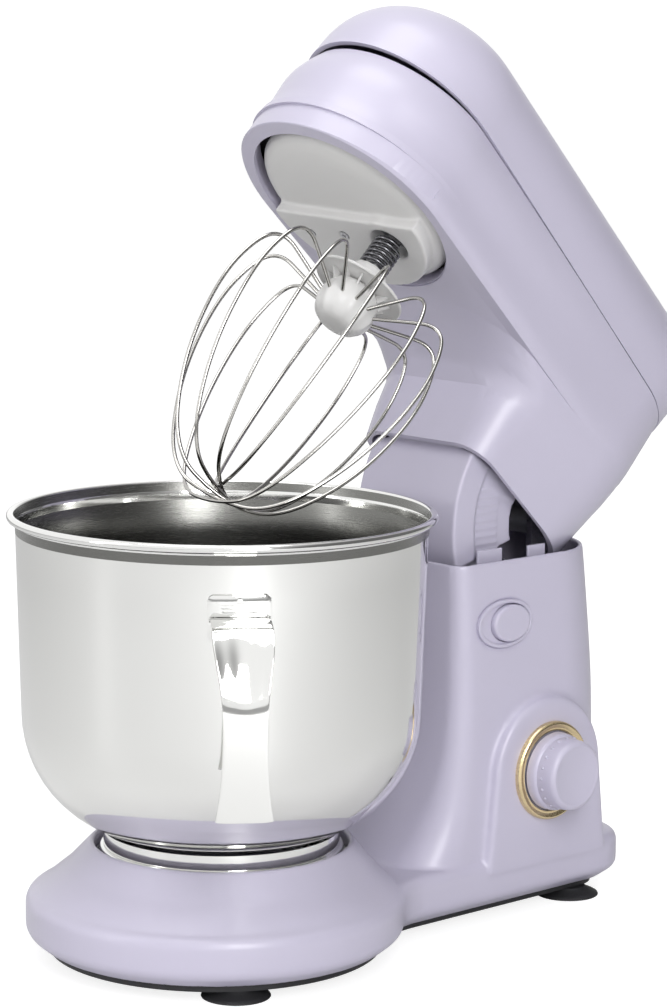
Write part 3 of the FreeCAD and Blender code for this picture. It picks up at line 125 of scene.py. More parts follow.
def finish_piece(obj, name, body, material, replaced=(), angle=35.0):
    """Names, shades and paints a piece, and lets it ride on its body."""
    only(obj)
    obj.name = name
    obj.data.name = name
    bpy.ops.object.shade_smooth_by_angle(angle=math.radians(angle))
    obj.data.materials.clear()
    obj.data.materials.append(material)
    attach(obj, body)
    if replaced:
        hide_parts(*replaced)
    return obj


def pick(obj, wanted):
    """Opens a piece for editing with only the vertices selected whose place is wanted."""
    only(obj)
    bpy.context.tool_settings.mesh_select_mode = (True, False, False)
    bpy.ops.object.mode_set(mode="EDIT")
    bpy.ops.mesh.select_all(action="DESELECT")
    bpy.ops.object.mode_set(mode="OBJECT")
    for vertex in obj.data.vertices:
        vertex.select = wanted(vertex.co)
    bpy.ops.object.mode_set(mode="EDIT")


def close_up(obj):
    """Merges doubles and turns every face outwards."""
    only(obj)
    bpy.ops.object.mode_set(mode="EDIT")
    bpy.ops.mesh.select_all(action="SELECT")
    bpy.ops.mesh.remove_doubles(threshold=1e-6)
    bpy.ops.mesh.normals_make_consistent(inside=False)
    bpy.ops.object.mode_set(mode="OBJECT")
    return obj


def lathe(profile, steps=96, x=0.0, y=0.0):
    """A turned piece: a circle is extruded and scaled from one (radius, height) to the next.

    A profile that starts or ends on the axis is closed to a point there; otherwise its two ends
    are bridged, which makes a ring.
    """
    tip = 1e-3
    radius, height = profile[0]
    deselect()
    bpy.ops.mesh.primitive_circle_add(vertices=steps, radius=mm(max(radius, tip)), location=mm(x, y, height))
    bpy.ops.object.transform_apply(location=True)
    obj = bpy.context.object
    bpy.ops.object.mode_set(mode="EDIT")
    bpy.ops.mesh.select_all(action="SELECT")
    for next_radius, next_height in profile[1:]:
        bpy.ops.mesh.extrude_region_move()
        bpy.ops.transform.translate(value=mm(0, 0, next_height - height))
        scale = max(next_radius, tip) / max(radius, tip)
        bpy.ops.transform.resize(value=(scale, scale, 1), center_override=mm(x, y, next_height))
        radius, height = next_radius, next_height
    if profile[0][0] > tip and profile[-1][0] > tip:
        bpy.ops.mesh.select_all(action="DESELECT")
        bpy.ops.mesh.select_non_manifold(extend=False, use_wire=False, use_boundary=True,
                                         use_multi_face=False, use_non_contiguous=False, use_verts=False)
        bpy.ops.mesh.bridge_edge_loops()
    bpy.ops.mesh.select_all(action="SELECT")
    bpy.ops.mesh.remove_doubles(threshold=mm(2.5 * tip))
    bpy.ops.mesh.normals_make_consistent(inside=False)
    bpy.ops.object.mode_set(mode="OBJECT")
    return obj


def arc_points(cx, cz, r, a0, a1, count):
    """Points of an arc in a profile, as (radius, height)."""
    turns = [math.radians(a0 + (a1 - a0) * i / count) for i in range(count + 1)]
    return [(cx + r * math.cos(t), cz + r * math.sin(t)) for t in turns]


def block(x0, x1, y0, y1, z0, z1, soft=0.0, segments=3):
    """A rectangular blank, its edges rounded."""
    deselect()
    bpy.ops.mesh.primitive_cube_add(size=1, location=mm((x0 + x1) / 2, (y0 + y1) / 2, (z0 + z1) / 2))
    obj = bpy.context.object
    obj.scale = mm(x1 - x0, y1 - y0, z1 - z0)
    bpy.ops.object.transform_apply(location=True, rotation=True, scale=True)
    if soft:
        modify(obj, "BEVEL", width=mm(soft), segments=segments, limit_method="NONE")
    return obj


def disc(r, z0, z1, x=0.0, y=0.0, steps=96):
    deselect()
    bpy.ops.mesh.primitive_cylinder_add(vertices=steps, radius=mm(r), depth=mm(z1 - z0),
                                        location=mm(x, y, (z0 + z1) / 2))
    bpy.ops.object.transform_apply(location=True)
    return bpy.context.object


def combine(base, tool, operation):
    """Cuts tool from base, or joins it on, and drops the tool."""
    modify(base, "BOOLEAN", object=tool, operation=operation, solver="EXACT")
    bpy.data.objects.remove(tool)
    return base


def merge(objects):
    """Several meshes as one object."""
    deselect()
    for obj in objects:
        obj.select_set(True)
    bpy.context.view_layer.objects.active = objects[0]
    if len(objects) > 1:
        bpy.ops.object.join()
    return objects[0]


def copy_of(node):
    """A loose copy of a CAD piece's mesh, merged, for a piece that is made from it."""
    mesh = frame["nodes"][node].data.copy()
    mesh.materials.clear()
    obj = bpy.data.objects.new(node + "_copy", mesh)
    bpy.context.scene.collection.objects.link(obj)
    only(obj)
    if mesh.has_custom_normals:
        bpy.ops.mesh.customdata_custom_splitnormals_clear()
    return close_up(obj)


def moulded(obj, voxel, rounds, keep=1.0):
    """Softens every edge and inner corner, as a moulding has them: fine remesh, then smoothing."""
    modify(obj, "REMESH", mode="VOXEL", voxel_size=mm(voxel), adaptivity=0.0)
    if rounds:
        modify(obj, "SMOOTH", factor=0.5, iterations=rounds)
    if keep < 1.0:
        modify(obj, "DECIMATE", ratio=keep)
    return obj


# ------------------------------------------------------------------ materials
def node_group(name, inputs, outputs, build):
    """A shader node group with named inputs and outputs."""
    tree = bpy.data.node_groups.new(name, "ShaderNodeTree")
    for label, kind, default in inputs:
        socket = tree.interface.new_socket(name=label, in_out="INPUT", socket_type=kind)
        if default is not None:
            socket.default_value = default
    for label, kind in outputs:
        tree.interface.new_socket(name=label, in_out="OUTPUT", socket_type=kind)
    start = tree.nodes.new("NodeGroupInput")
    end = tree.nodes.new("NodeGroupOutput")
    build(tree, start, end)
    return tree


def math_node(tree, operation, a, b=None, c=None, clamp=False):
    node = tree.nodes.new("ShaderNodeMath")
    node.operation = operation
    node.use_clamp = clamp
    for socket, value in zip(node.inputs, (a, b, c)):
        if value is None:
            continue
        if isinstance(value, (int, float)):
            socket.default_value = value
        else:
            tree.links.new(value, socket)
    return node.outputs[0]


def noise_node(tree, vector, scale, detail=3.0, roughness=0.5):
    node = tree.nodes.new("ShaderNodeTexNoise")
    node.inputs["Detail"].default_value = detail
    node.inputs["Roughness"].default_value = roughness
    tree.links.new(vector, node.inputs["Vector"])
    if isinstance(scale, (int, float)):
        node.inputs["Scale"].default_value = scale
    else:
        tree.links.new(scale, node.inputs["Scale"])
    return node.outputs["Fac"]


def build_grain(tree, start, end):
    """Fine even texture of a moulded or cast skin, with slow patches over it."""
    coords = tree.nodes.new("ShaderNodeTexCoord").outputs["Object"]
    fine = noise_node(tree, coords, start.outputs["Grain Scale"], 2.0, 0.6)
    slow = noise_node(tree, coords, start.outputs["Patch Scale"], 3.0)
    tree.links.new(fine, end.inputs["Grain"])
    tree.links.new(slow, end.inputs["Patches"])


def build_brushed(tree, start, end):
    """Hair lines that run round an upright axis: they change with height and hardly along the line."""
    coords = tree.nodes.new("ShaderNodeTexCoord").outputs["Object"]
    mapping = tree.nodes.new("ShaderNodeMapping")
    tree.links.new(coords, mapping.inputs["Vector"])
    tree.links.new(start.outputs["Stretch"], mapping.inputs["Scale"])
    lines = noise_node(tree, mapping.outputs["Vector"], start.outputs["Line Scale"], 4.0, 0.7)
    smears = noise_node(tree, coords, 9.0, 2.0)
    tree.links.new(lines, end.inputs["Lines"])
    tree.links.new(smears, end.inputs["Smears"])


GRAIN = node_group("moulded_grain",
                   [("Grain Scale", "NodeSocketFloat", 900.0), ("Patch Scale", "NodeSocketFloat", 14.0)],
                   [("Grain", "NodeSocketFloat"), ("Patches", "NodeSocketFloat")], build_grain)
BRUSHED = node_group("brushed_lines", [("Line Scale", "NodeSocketFloat", 60.0), ("Stretch",
                                                                                 "NodeSocketVector",
                                                                                 (1.0, 1.0, 40.0))],
                     [("Lines", "NodeSocketFloat"), ("Smears", "NodeSocketFloat")], build_brushed)


def new_material(name, metallic=0.0, **sockets):
    material = bpy.data.materials.new(name)
    material.use_nodes = True
    shader = material.node_tree.nodes["Principled BSDF"]
    shader.inputs["Metallic"].default_value = metallic
    for label, value in sockets.items():
        shader.inputs[label.replace("_", " ")].default_value = value
    return material, material.node_tree, shader


def colour_mix(tree, factor, first, second):
    ramp = tree.nodes.new("ShaderNodeMix")
    ramp.data_type = "RGBA"
    tree.links.new(factor, ramp.inputs["Factor"])
    for socket, value in zip((ramp.inputs[6], ramp.inputs[7]), (first, second)):
        socket.default_value = (*value, 1.0)
    return ramp.outputs[2]


def range_node(tree, value, low, high):
    node = tree.nodes.new("ShaderNodeMapRange")
    tree.links.new(value, node.inputs["Value"])
    node.inputs["From Min"].default_value = 0.3
    node.inputs["From Max"].default_value = 0.7
    node.inputs["To Min"].default_value = low
    node.inputs["To Max"].default_value = high
    return node.outputs["Result"]


def bump_node(tree, shader, height, strength, distance):
    node = tree.nodes.new("ShaderNodeBump")
    node.inputs["Strength"].default_value = strength
    node.inputs["Distance"].default_value = distance
    tree.links.new(height, node.inputs["Height"])
    tree.links.new(node.outputs["Normal"], shader.inputs["Normal"])


def grained(name, light, dark, rough, grain=900.0, patch=14.0, bump=0.05, metallic=0.0, **sockets):
    """A moulded, cast or machined finish: two near tones in slow patches, and a fine skin."""
    material, tree, shader = new_material(name, metallic, **sockets)
    group = tree.nodes.new("ShaderNodeGroup")
    group.node_tree = GRAIN
    group.inputs["Grain Scale"].default_value = grain
    group.inputs["Patch Scale"].default_value = patch
    tree.links.new(colour_mix(tree, group.outputs["Patches"], dark, light), shader.inputs["Base Color"])
    tree.links.new(range_node(tree, group.outputs["Grain"], *rough), shader.inputs["Roughness"])
    bump_node(tree, shader, group.outputs["Grain"], bump, 0.0003)
    return material


def brushed(name, light, dark, rough, lines=60.0, stretch=(1.0, 1.0, 40.0), bump=0.04, **sockets):
    """Metal with hair lines, or a polish that keeps a trace of them."""
    material, tree, shader = new_material(name, 1.0, **sockets)
    group = tree.nodes.new("ShaderNodeGroup")
    group.node_tree = BRUSHED
    group.inputs["Line Scale"].default_value = lines
    group.inputs["Stretch"].default_value = stretch
    tree.links.new(colour_mix(tree, group.outputs["Smears"], dark, light), shader.inputs["Base Color"])
    tree.links.new(range_node(tree, group.outputs["Lines"], *rough), shader.inputs["Roughness"])
    bump_node(tree, shader, group.outputs["Lines"], bump, 0.0002)
    return material


LAVENDER = grained("lavender_satin", (0.520, 0.495, 0.612), (0.508, 0.482, 0.598), (0.30, 0.38), 1400.0,
                   9.0, 0.03, Coat_Weight=0.15, Coat_Roughness=0.25, Specular_IOR_Level=0.45)
PALE_PLASTIC = grained("pale_grey_plastic", (0.665, 0.660, 0.655), (0.64, 0.635, 0.63), (0.30, 0.40),
                       1200.0, 12.0, 0.03)
BLACK_PLASTIC = grained("black_plastic", (0.018, 0.018, 0.020), (0.013, 0.013, 0.015), (0.42, 0.58),
                        1500.0, 20.0, 0.12)
RUBBER = grained("black_rubber", (0.014, 0.014, 0.016), (0.010, 0.010, 0.012), (0.60, 0.75), 1800.0, 20.0,
                 0.15)
GOLD = brushed("champagne_gold", (0.80, 0.66, 0.40), (0.76, 0.61, 0.36), (0.22, 0.30), 120.0,
               (1.0, 20.0, 20.0))
POLISHED = brushed("polished_steel", (0.80, 0.80, 0.785), (0.77, 0.77, 0.755), (0.05, 0.08), 40.0,
                   (1, 1, 30), 0.01)
# inside of the bowl: the brushed lines are real, but its base colour, far darker than the outside's steel, is
# painted shade
BRUSHED_STEEL_PAINTED_SHADE = brushed("brushed_steel_painted_shade", (0.20, 0.20, 0.19), (0.16, 0.16, 0.152), (0.20, 0.30), 60.0,
                        (1, 1, 60), 0.10, Anisotropic=0.4)
WIRE = brushed("wire_steel", (0.50, 0.49, 0.47), (0.43, 0.42, 0.40), (0.10, 0.16), 200.0, (1, 1, 1), 0.02)
MACHINED = brushed("machined_steel", (0.52, 0.52, 0.54), (0.46, 0.46, 0.48), (0.25, 0.35), 100.0,
                   (20, 20, 20), 0.05)
DARK_STEEL = brushed("oiled_spring_steel", (0.17, 0.17, 0.18), (0.12, 0.12, 0.13), (0.20, 0.32), 100.0,
                     (20, 20, 20), 0.05)
CAST = grained("cast_aluminium", (0.50, 0.51, 0.53), (0.44, 0.45, 0.47), (0.45, 0.60), 500.0, 30.0, 0.3,
               metallic=1.0)
NYLON = grained("natural_nylon", (0.78, 0.76, 0.68), (0.74, 0.72, 0.63), (0.40, 0.50), 900.0, 20.0, 0.05)
LAMINATE = grained("green_laminate", (0.04, 0.20, 0.09), (0.03, 0.16, 0.07), (0.35, 0.45), 900.0, 40.0, 0.05)

SLOT_FINISH = {"lavender_plastic": LAVENDER, "black_plastic": BLACK_PLASTIC, "foot_rubber": RUBBER,
               "drive_rubber": RUBBER, "gold_trim": GOLD, "polished_steel": POLISHED, "wire_steel": WIRE,
               "grey_plastic": PALE_PLASTIC, "steel": MACHINED, "casting": CAST, "gear_nylon": NYLON,
               "circuit_board": LAMINATE,}
for part in frame["record"]["subparts"]:
    mesh = frame["nodes"][part["node"]].data
    mesh.materials.clear()
    mesh.materials.append(SLOT_FINISH[part["material_slot"]])


# ------------------------------------------------------------------ bowl
BOWL_WAIST_R = 102.8
BOWL_SHOULDER_R = 105.6
BOWL_CURVE_R = 64.0
BOWL_FLOOR = 64.0
BOWL_SHEET = 0.8
RIM_R = 107.9                # centre line of the rolled rim
RIM_Z = 229.4
RIM_ROLL = 2.1
FOOT_RING_R = 61.6
LUG_START, LUG_END = 20.0, 40.0


def make_bowl():
    """Deep-drawn bowl: brushed inside, where a much darker steel is painted shade, polished outside, its rim
    rolled outwards.
    """
    centre_r, centre_z = BOWL_WAIST_R - BOWL_CURVE_R, BOWL_FLOOR + BOWL_CURVE_R
    inside = [(0, BOWL_FLOOR + BOWL_SHEET), (centre_r / 2, BOWL_FLOOR + BOWL_SHEET)]
    inside += arc_points(centre_r, centre_z, BOWL_CURVE_R - BOWL_SHEET, -90, 0, 14)
    inside += [(BOWL_WAIST_R - BOWL_SHEET + step * 0.7, centre_z + 25.0 * step) for step in range(1, 4)]
    roll = arc_points(RIM_R, RIM_Z, RIM_ROLL, 150, -110, 12)
    outside = [(BOWL_SHOULDER_R + 0.3, RIM_Z - 2.6), (BOWL_SHOULDER_R - 0.1, RIM_Z - 5.0)]
    outside += [(BOWL_WAIST_R + step * 0.7, centre_z + 25.0 * step) for step in range(3, 0, -1)]
    outside += arc_points(centre_r, centre_z, BOWL_CURVE_R, 0, -90, 14)
    outside += [(centre_r / 2, BOWL_FLOOR), (0, BOWL_FLOOR)]
    bowl = lathe(inside + roll + outside, 160)
    seat(bowl, STANDING)
    finish_piece(bowl, "mixing_bowl", "bowl", POLISHED, ["bowl"], 60)
    bowl.data.materials.append(BRUSHED_STEEL_PAINTED_SHADE)
    # faces that look towards the bowl's middle, below the rim, get the dark steel: painted shade inside the bowl
    middle = AXIS + Vector((0, 0, mm(150)))
    for face in bowl.data.polygons:
        towards = middle - face.center
        if face.normal.dot(towards) > 0 and face.center.z < mm(RIM_Z - 1.0):
            face.material_index = 1


def make_foot_ring():
    """Foot of the bowl: rolled bead over a plain band, with a flange and its bayonet lugs below."""
    outer, inner = FOOT_RING_R, FOOT_RING_R - 1.2
    profile = [(inner, 47.0), (outer + 0.2, 47.0), (outer + 0.5, 47.6), (outer, 48.4), (outer - 0.3, 50.0),
               (outer - 0.3, 54.4)]
    profile += arc_points(outer, 56.7, 1.7, -120, 120, 8)
    profile += [(outer - 0.5, 59.4), (outer - 0.5, 66.4), (inner, 66.4)]
    ring = lathe(profile, 128)
    lugs = []
    for number in range(3):
        lug = lathe([(FOOT_RING_R - 0.4, 47.0), (FOOT_RING_R + 2.2, 47.0), (FOOT_RING_R + 2.6, 47.5),
                     (FOOT_RING_R + 2.4, 49.4), (FOOT_RING_R - 0.4, 49.5)], 90)
        only(lug)
        bpy.ops.object.mode_set(mode="EDIT")
        bpy.ops.mesh.select_all(action="SELECT")
        start, end = math.radians(LUG_START), math.radians(LUG_END)
        bpy.ops.mesh.bisect(plane_co=(0, 0, 0), plane_no=(math.sin(start), -math.cos(start), 0),
                            use_fill=True, clear_inner=True)
        bpy.ops.mesh.select_all(action="SELECT")
        bpy.ops.mesh.bisect(plane_co=(0, 0, 0), plane_no=(-math.sin(end), math.cos(end), 0),
                            use_fill=True, clear_inner=True)
        bpy.ops.object.mode_set(mode="OBJECT")
        seat(lug, Matrix.Rotation(math.radians(120 * number), 4, "Z"))
        lugs.append(lug)
    ring = merge([ring] + lugs)
    seat(ring, STANDING)
    finish_piece(ring, "bowl_foot_band", "bowl", POLISHED, ["bowl_foot_ring"], 40)


# ------------------------------------------------------------------ whisk and its drive
def curve_wire(points, radius, sides, cyclic=False):
    """A bent wire on a smooth curve through the legs of its control points, as a mesh."""
    curve = bpy.data.curves.new("wire", "CURVE")
    curve.dimensions = "3D"
    curve.bevel_depth = mm(radius)
    curve.bevel_resolution = sides
    curve.resolution_u = 14
    curve.use_fill_caps = True
    spline = curve.splines.new("NURBS")
    spline.points.add(len(points) - 1)
    for point, place in zip(spline.points, points):
        point.co = (*mm(*place), 1.0)
    spline.order_u = 3
    spline.use_cyclic_u = cyclic
    spline.use_endpoint_u = not cyclic
    obj = bpy.data.objects.new("wire", curve)
    bpy.context.scene.collection.objects.link(obj)
    only(obj)
    bpy.ops.object.convert(target="MESH")
    return bpy.context.object


def make_whisk_wires():
    """Six closed loops that cross below, each a little above the last."""
    loops = []
    for number in range(WIRE_LOOPS):
        low = 75.0 + 2.3 * number
        side = [(11.0, 199.0), (17.6, 201.5), (30.0, 206.5), (47.0, 213.0), (57.0, 204.0), (62.0, 172.0),
                (53.0, 124.0), (30.0, low + 2.0)]
        points = [(r, 0.0, z) for r, z in side] + [(0.0, 0.0, low - 4.0)] + [(-r, 0.0, z) for r,
                                                                             z in reversed(side)]
        loop = curve_wire(points, WIRE_R, 3)
        seat(loop, Matrix.Rotation(math.radians(30.0 * number), 4, "Z"))
        loops.append(loop)
    wires = merge(loops)
    seat(wires, OPENED @ Matrix.Translation(mm(*BEATER, 0)))
    finish_piece(wires, "balloon_wires", "whisk", WIRE, ["whisk_wires"], 60)


def make_whisk_hub():
    """Moulded hub: a lobed bulb under a dished shield, with a small rib beside each wire."""
    lobes = 2 * WIRE_LOOPS
    bulb = lathe([(0, 188.0), (5.0, 188.1), (9.6, 188.8), (13.8, 191.2), (16.6, 195.6), (17.2, 200.5),
                  (16.4, 206.0), (13.6, 212.8), (0, 212.8)], 2 * lobes)

    def between_wires(place):
        turn = math.degrees(math.atan2(place.y, place.x))
        return round(turn / 15.0) % 2 == 1 and mm(189) < place.z < mm(209)

    pick(bulb, between_wires)
    bpy.ops.transform.resize(value=(0.90, 0.90, 1), center_override=(0, 0, 0))
    bpy.ops.object.mode_set(mode="OBJECT")
    modify(bulb, "SUBSURF", levels=3, render_levels=3)
    shield = lathe([(0, 214.4), (10.0, 214.5), (20.0, 214.7), (24.6, 214.3), (25.4, 213.8), (25.5, 213.0),
                    (25.0, 212.5), (24.2, 212.9), (19.0, 213.2), (13.0, 212.4), (0, 212.4)], 96)
    ribs = []
    for number in range(lobes):
        rib = block(12.5, 19.0, -0.5, 0.5, 205.5, 213.2, 0.25, 2)
        only(rib)
        bpy.ops.object.mode_set(mode="EDIT")
        bpy.ops.mesh.select_all(action="SELECT")
        bpy.ops.mesh.bisect(plane_co=mm(19.0, 0, 212.6), plane_no=(0.74, 0, -0.67), use_fill=True,
                            clear_outer=True)
        bpy.ops.object.mode_set(mode="OBJECT")
        seat(rib, Matrix.Rotation(math.radians(30.0 * number + 15.0), 4, "Z"))
        ribs.append(rib)
    hub = merge([shield, bulb] + ribs)
    seat(hub, OPENED @ Matrix.Translation(mm(*BEATER, 0)))
    finish_piece(hub, "whisk_hub_moulding", "whisk", PALE_PLASTIC, ["whisk_hub"], 45)


def make_collar():
    """Twelve-sided collar on the beater shaft."""
    collar = lathe([(5.1, 214.8), (9.7, 214.8), (10.5, 215.8), (10.5, 223.4), (9.4, 225.2), (5.1, 225.2)], 12)
    modify(collar, "BEVEL", width=mm(0.35), segments=2, limit_method="ANGLE", angle_limit=math.radians(20))
    seat(collar, OPENED @ Matrix.Translation(mm(*BEATER, 0)))
    finish_piece(collar, "shaft_collar", "beater", PALE_PLASTIC, ["beater_collar"], 20)


def make_spring():
    """Open coil over the beater shaft, its end turns closed up."""
    wire = 0.95
    coil_r = 7.45
    deselect()
    bpy.ops.mesh.primitive_circle_add(vertices=12, radius=mm(wire), location=mm(coil_r, 0, 226.4),
                                      rotation=(math.radians(90), 0, 0))
    coil = bpy.context.object
    bpy.ops.object.transform_apply(location=True, rotation=True)
    turns = 6
    modify(coil, "SCREW", angle=math.radians(360 * turns), screw_offset=mm(16.4), steps=24 * turns,
           render_steps=24 * turns, use_merge_vertices=False)
    only(coil)
    bpy.ops.object.mode_set(mode="EDIT")
    bpy.ops.mesh.select_all(action="DESELECT")
    bpy.ops.mesh.select_non_manifold(extend=False, use_wire=False, use_boundary=True, use_multi_face=False,
                                     use_non_contiguous=False, use_verts=False)
    bpy.ops.mesh.fill_holes(sides=16)
    bpy.ops.mesh.select_all(action="SELECT")
    bpy.ops.mesh.normals_make_consistent(inside=False)
    bpy.ops.object.mode_set(mode="OBJECT")
    seat(coil, OPENED @ Matrix.Translation(mm(*BEATER, 0)))
    finish_piece(coil, "shaft_spring", "beater", DARK_STEEL, ["beater_spring"], 50)


def make_planetary_cover():
    """Turning cover: a crowned disc, a deeper D-shaped step behind its middle and the boss of the shaft."""
    island_z, face_z = 243.2, 249.2
    crown = lathe([(0, face_z), (38.0, face_z), (45.0, 249.6), (50.5, 250.8), (53.8, 252.6),
                   (55.6, 255.2), (55.9, 257.5), (55.9, 259.0), (52.8, 259.0), (52.8, 255.0),
                   (44.0, 252.2), (0, 252.2)], 160)
    step = disc(50.5, island_z, face_z + 1.0, steps=160)
    only(step)
    lean = math.radians(ISLAND_TURN)
    bpy.ops.object.mode_set(mode="EDIT")
    bpy.ops.mesh.select_all(action="SELECT")
    bpy.ops.mesh.bisect(plane_co=mm(0, ISLAND_EDGE, 0), plane_no=(-math.sin(lean), math.cos(lean), 0),
                        use_fill=True, clear_inner=True)
    bpy.ops.object.mode_set(mode="OBJECT")
    boss = disc(17.0, island_z, face_z + 1.0, *BEATER, steps=64)
    cover = combine(combine(crown, step, "UNION"), boss, "UNION")
    bore = disc(11.0, 240.0, 262.0, *BEATER, steps=64)
    cover = combine(cover, bore, "DIFFERENCE")
    for x, y in COVER_SCREWS:
        cover = combine(cover, disc(2.6, 240.0, 246.0, x, y, 32), "DIFFERENCE")
    moulded(cover, 0.7, 14)
    seat(cover, OPENED)
    finish_piece(cover, "planetary_cover_moulding", "planetary", PALE_PLASTIC,
                 ["planetary_cover"], 80)


# ------------------------------------------------------------------ shells of the head and the stand
HEAD_NOSE_Y = -2.0            # centre of the round nose
STEP_R = 67.4                 # the crescent step is left outside this radius
STEP_TOP = 262.5
RIB_COUNT = 11                # cooling ribs of the neck cover
RIB_START, RIB_PITCH = 30.0, 4.2
BAND_IN, BAND_OUT = 58.6, 73.4
BAND_FROM, BAND_TO = 35.0, -15.0


def soften(node, name, body, material, voxel, rounds, keep=1.0):
    """A CAD piece's own shape with its edges rounded off."""
    obj = copy_of(node)
    moulded(obj, voxel, rounds, keep)
    return finish_piece(obj, name, body, material, [node], 80)


def make_lower_shell():
    """Lower shell: a lip stands round the opening and a crescent step fades out along the nose."""
    shell = copy_of("head_lower_shell")
    lip = lathe([(59.2, 250.4), (65.6, 252.2), (66.5, 255.0), (66.3, 266.5), (64.3, 266.5), (64.3, 262.0),
                 (59.2, 259.0)], 128, 0.0, HEAD_NOSE_Y)
    shell = combine(shell, seat(lip, OPENED), "UNION")
    step = combine(block(-90, 90, -90, -10, 240, STEP_TOP), disc(STEP_R, 230, 270, 0.0, 0.4, 192),
                   "DIFFERENCE")
    shell = combine(shell, seat(step, OPENED), "DIFFERENCE")
    close_up(shell)
    finish_piece(shell, "lower_shell_moulding", "head", LAVENDER,
                 ["head_lower_shell"], 30)


def make_neck():
    """Neck cover with its raised arc band and the row of cooling ribs under it."""
    neck = copy_of("neck_cover")
    ribs = []
    for number in range(RIB_COUNT):
        turn = math.radians(RIB_START - RIB_PITCH * number)
        y, z = -57.5 * math.cos(turn), 57.5 * math.sin(turn)
        for side in (-1, 1):
            x0, x1 = sorted((side * 35.0, side * 36.4))
            rib = block(x0, x1, y - 0.6, y + 17.0, z - 0.7, z + 0.7)
            seat(rib, Matrix.Translation(Vector((AXIS.x, PIVOT.y, PIVOT.z))))
            ribs.append(rib)
    for side in (-1, 1):
        band = lathe([(BAND_IN, 0.0), (BAND_OUT, 0.0), (BAND_OUT, 1.3), (BAND_IN, 1.3)], 128)
        only(band)
        bpy.ops.object.mode_set(mode="EDIT")
        for turn, keeps_lower in ((BAND_FROM, True), (BAND_TO, False)):
            lean = math.radians(turn)
            bpy.ops.mesh.select_all(action="SELECT")
            bpy.ops.mesh.bisect(plane_co=(0, 0, 0), plane_no=(math.sin(lean), math.cos(lean), 0),
                                use_fill=True, clear_outer=keeps_lower, clear_inner=not keeps_lower)
        bpy.ops.object.mode_set(mode="OBJECT")
        standing = Matrix(((0, 0, 1, 0), (1, 0, 0, 0), (0, 1, 0, 0), (0, 0, 0, 1)))
        place = Vector((AXIS.x + mm(36.5 if side > 0 else -37.8), PIVOT.y, PIVOT.z))
        ribs.append(seat(band, Matrix.Translation(place) @ standing))
    neck = merge([neck] + ribs)
    moulded(neck, 0.8, 5, 0.6)
    finish_piece(neck, "neck_cover_moulding", "head", LAVENDER, ["neck_cover"], 80)


def make_stand():
    """Stand housing with softened edges."""
    stand = copy_of("stand_housing")
    moulded(stand, 1.3, 5, 0.55)
    finish_piece(stand, "stand_moulding", "stand", LAVENDER, ["stand_housing"], 80)


# ------------------------------------------------------------------ controls
DOT_COUNT = 20
FACING_RIGHT = Matrix.Rotation(math.radians(90), 4, "Y")


def make_knob():
    """Speed knob: a slight skirt, a row of raised dots round its side and a rounded rim on its face."""
    knob = lathe([(0, 12.0), (3.02, 12.0), (3.02, 0.1), (20.8, 0.1), (21.2, 0.6), (20.9, 4.6),
                  (20.3, 5.8), (19.5, 6.4), (19.2, 12.0), (18.9, 15.2), (18.3, 16.7), (17.2, 17.7),
                  (16.2, 17.9), (15.4, 17.6), (14.6, 17.3), (0, 17.3)], 128)
    dots = []
    for number in range(DOT_COUNT):
        turn = math.radians(360.0 / DOT_COUNT * number)
        deselect()
        bpy.ops.mesh.primitive_uv_sphere_add(segments=16, ring_count=10, radius=mm(0.95),
                                             location=mm(19.2 * math.cos(turn), 19.2 * math.sin(turn), 9.6))
        bpy.ops.object.transform_apply(location=True)
        dots.append(bpy.context.object)
    knob = merge([knob] + dots)
    seat(knob, Matrix.Translation(KNOB + Vector(mm(2.2, 0, 0))) @ FACING_RIGHT)
    finish_piece(knob, "speed_knob_moulding", "knob", LAVENDER, ["speed_knob"], 40)


def make_knob_ring():
    """Dished metal ring that frames the knob."""
    ring = lathe([(22.0, 0.05), (26.9, 0.05), (26.9, 1.7), (26.6, 2.4), (26.0, 3.0), (25.4, 3.2),
                  (24.9, 3.0), (23.4, 2.2), (22.7, 2.2), (22.3, 2.4), (22.0, 2.2)], 160)
    seat(ring, Matrix.Translation(KNOB) @ FACING_RIGHT)
    finish_piece(ring, "knob_trim", "stand", GOLD, ["knob_ring"], 25)


# ------------------------------------------------------------------ bowl handle
HANDLE_TURN = Matrix.Rotation(math.radians(-36.0), 4, "Z")


def pressed_strip(rows, sheet, dish=()):
    """A strap of sheet metal.

    Each row is (distance from the bowl's axis, height, width); dish names rows that are sunk in their
    middle, with the depth.
    """
    across = 8
    deselect()
    bpy.ops.mesh.primitive_grid_add(x_subdivisions=len(rows) - 1, y_subdivisions=across, size=1)
    strip = bpy.context.object
    step = 1.0 / (len(rows) - 1)
    for number, (reach, height, width) in enumerate(rows):
        start = -0.5 + step * number
        pick(strip, lambda place: place.z == 0.0 and abs(place.x - start) < step * 0.1)
        bpy.ops.transform.resize(value=(1, mm(width), 1), center_override=(start, 0, 0))
        bpy.ops.transform.translate(value=(mm(reach) - start, 0, mm(height)))
    for row, depth in dish:
        reach, height, width = rows[row]
        before, after = rows[row - 1], rows[row + 1]
        along = Vector((after[0] - before[0], 0, after[1] - before[1])).normalized()
        inward = Vector((along.z, 0, -along.x))
        middle = Vector(mm(reach, 0, height))
        for share, half in ((0.55, 0.40), (0.45, 0.22)):
            pick(strip, lambda place: (abs((place - middle).dot(along)) < mm(1.5)
                                       and abs(place.y) < mm(width * half)))
            bpy.ops.transform.translate(value=inward * mm(depth * share))
    bpy.ops.object.mode_set(mode="OBJECT")
    modify(strip, "SMOOTH", factor=0.5, iterations=2, use_y=False)
    modify(strip, "SOLIDIFY", thickness=mm(sheet), offset=0.0)
    modify(strip, "BEVEL", width=mm(0.3), segments=2, limit_method="ANGLE", angle_limit=math.radians(60))
    modify(strip, "SUBSURF", levels=2, render_levels=2)
    return close_up(strip)


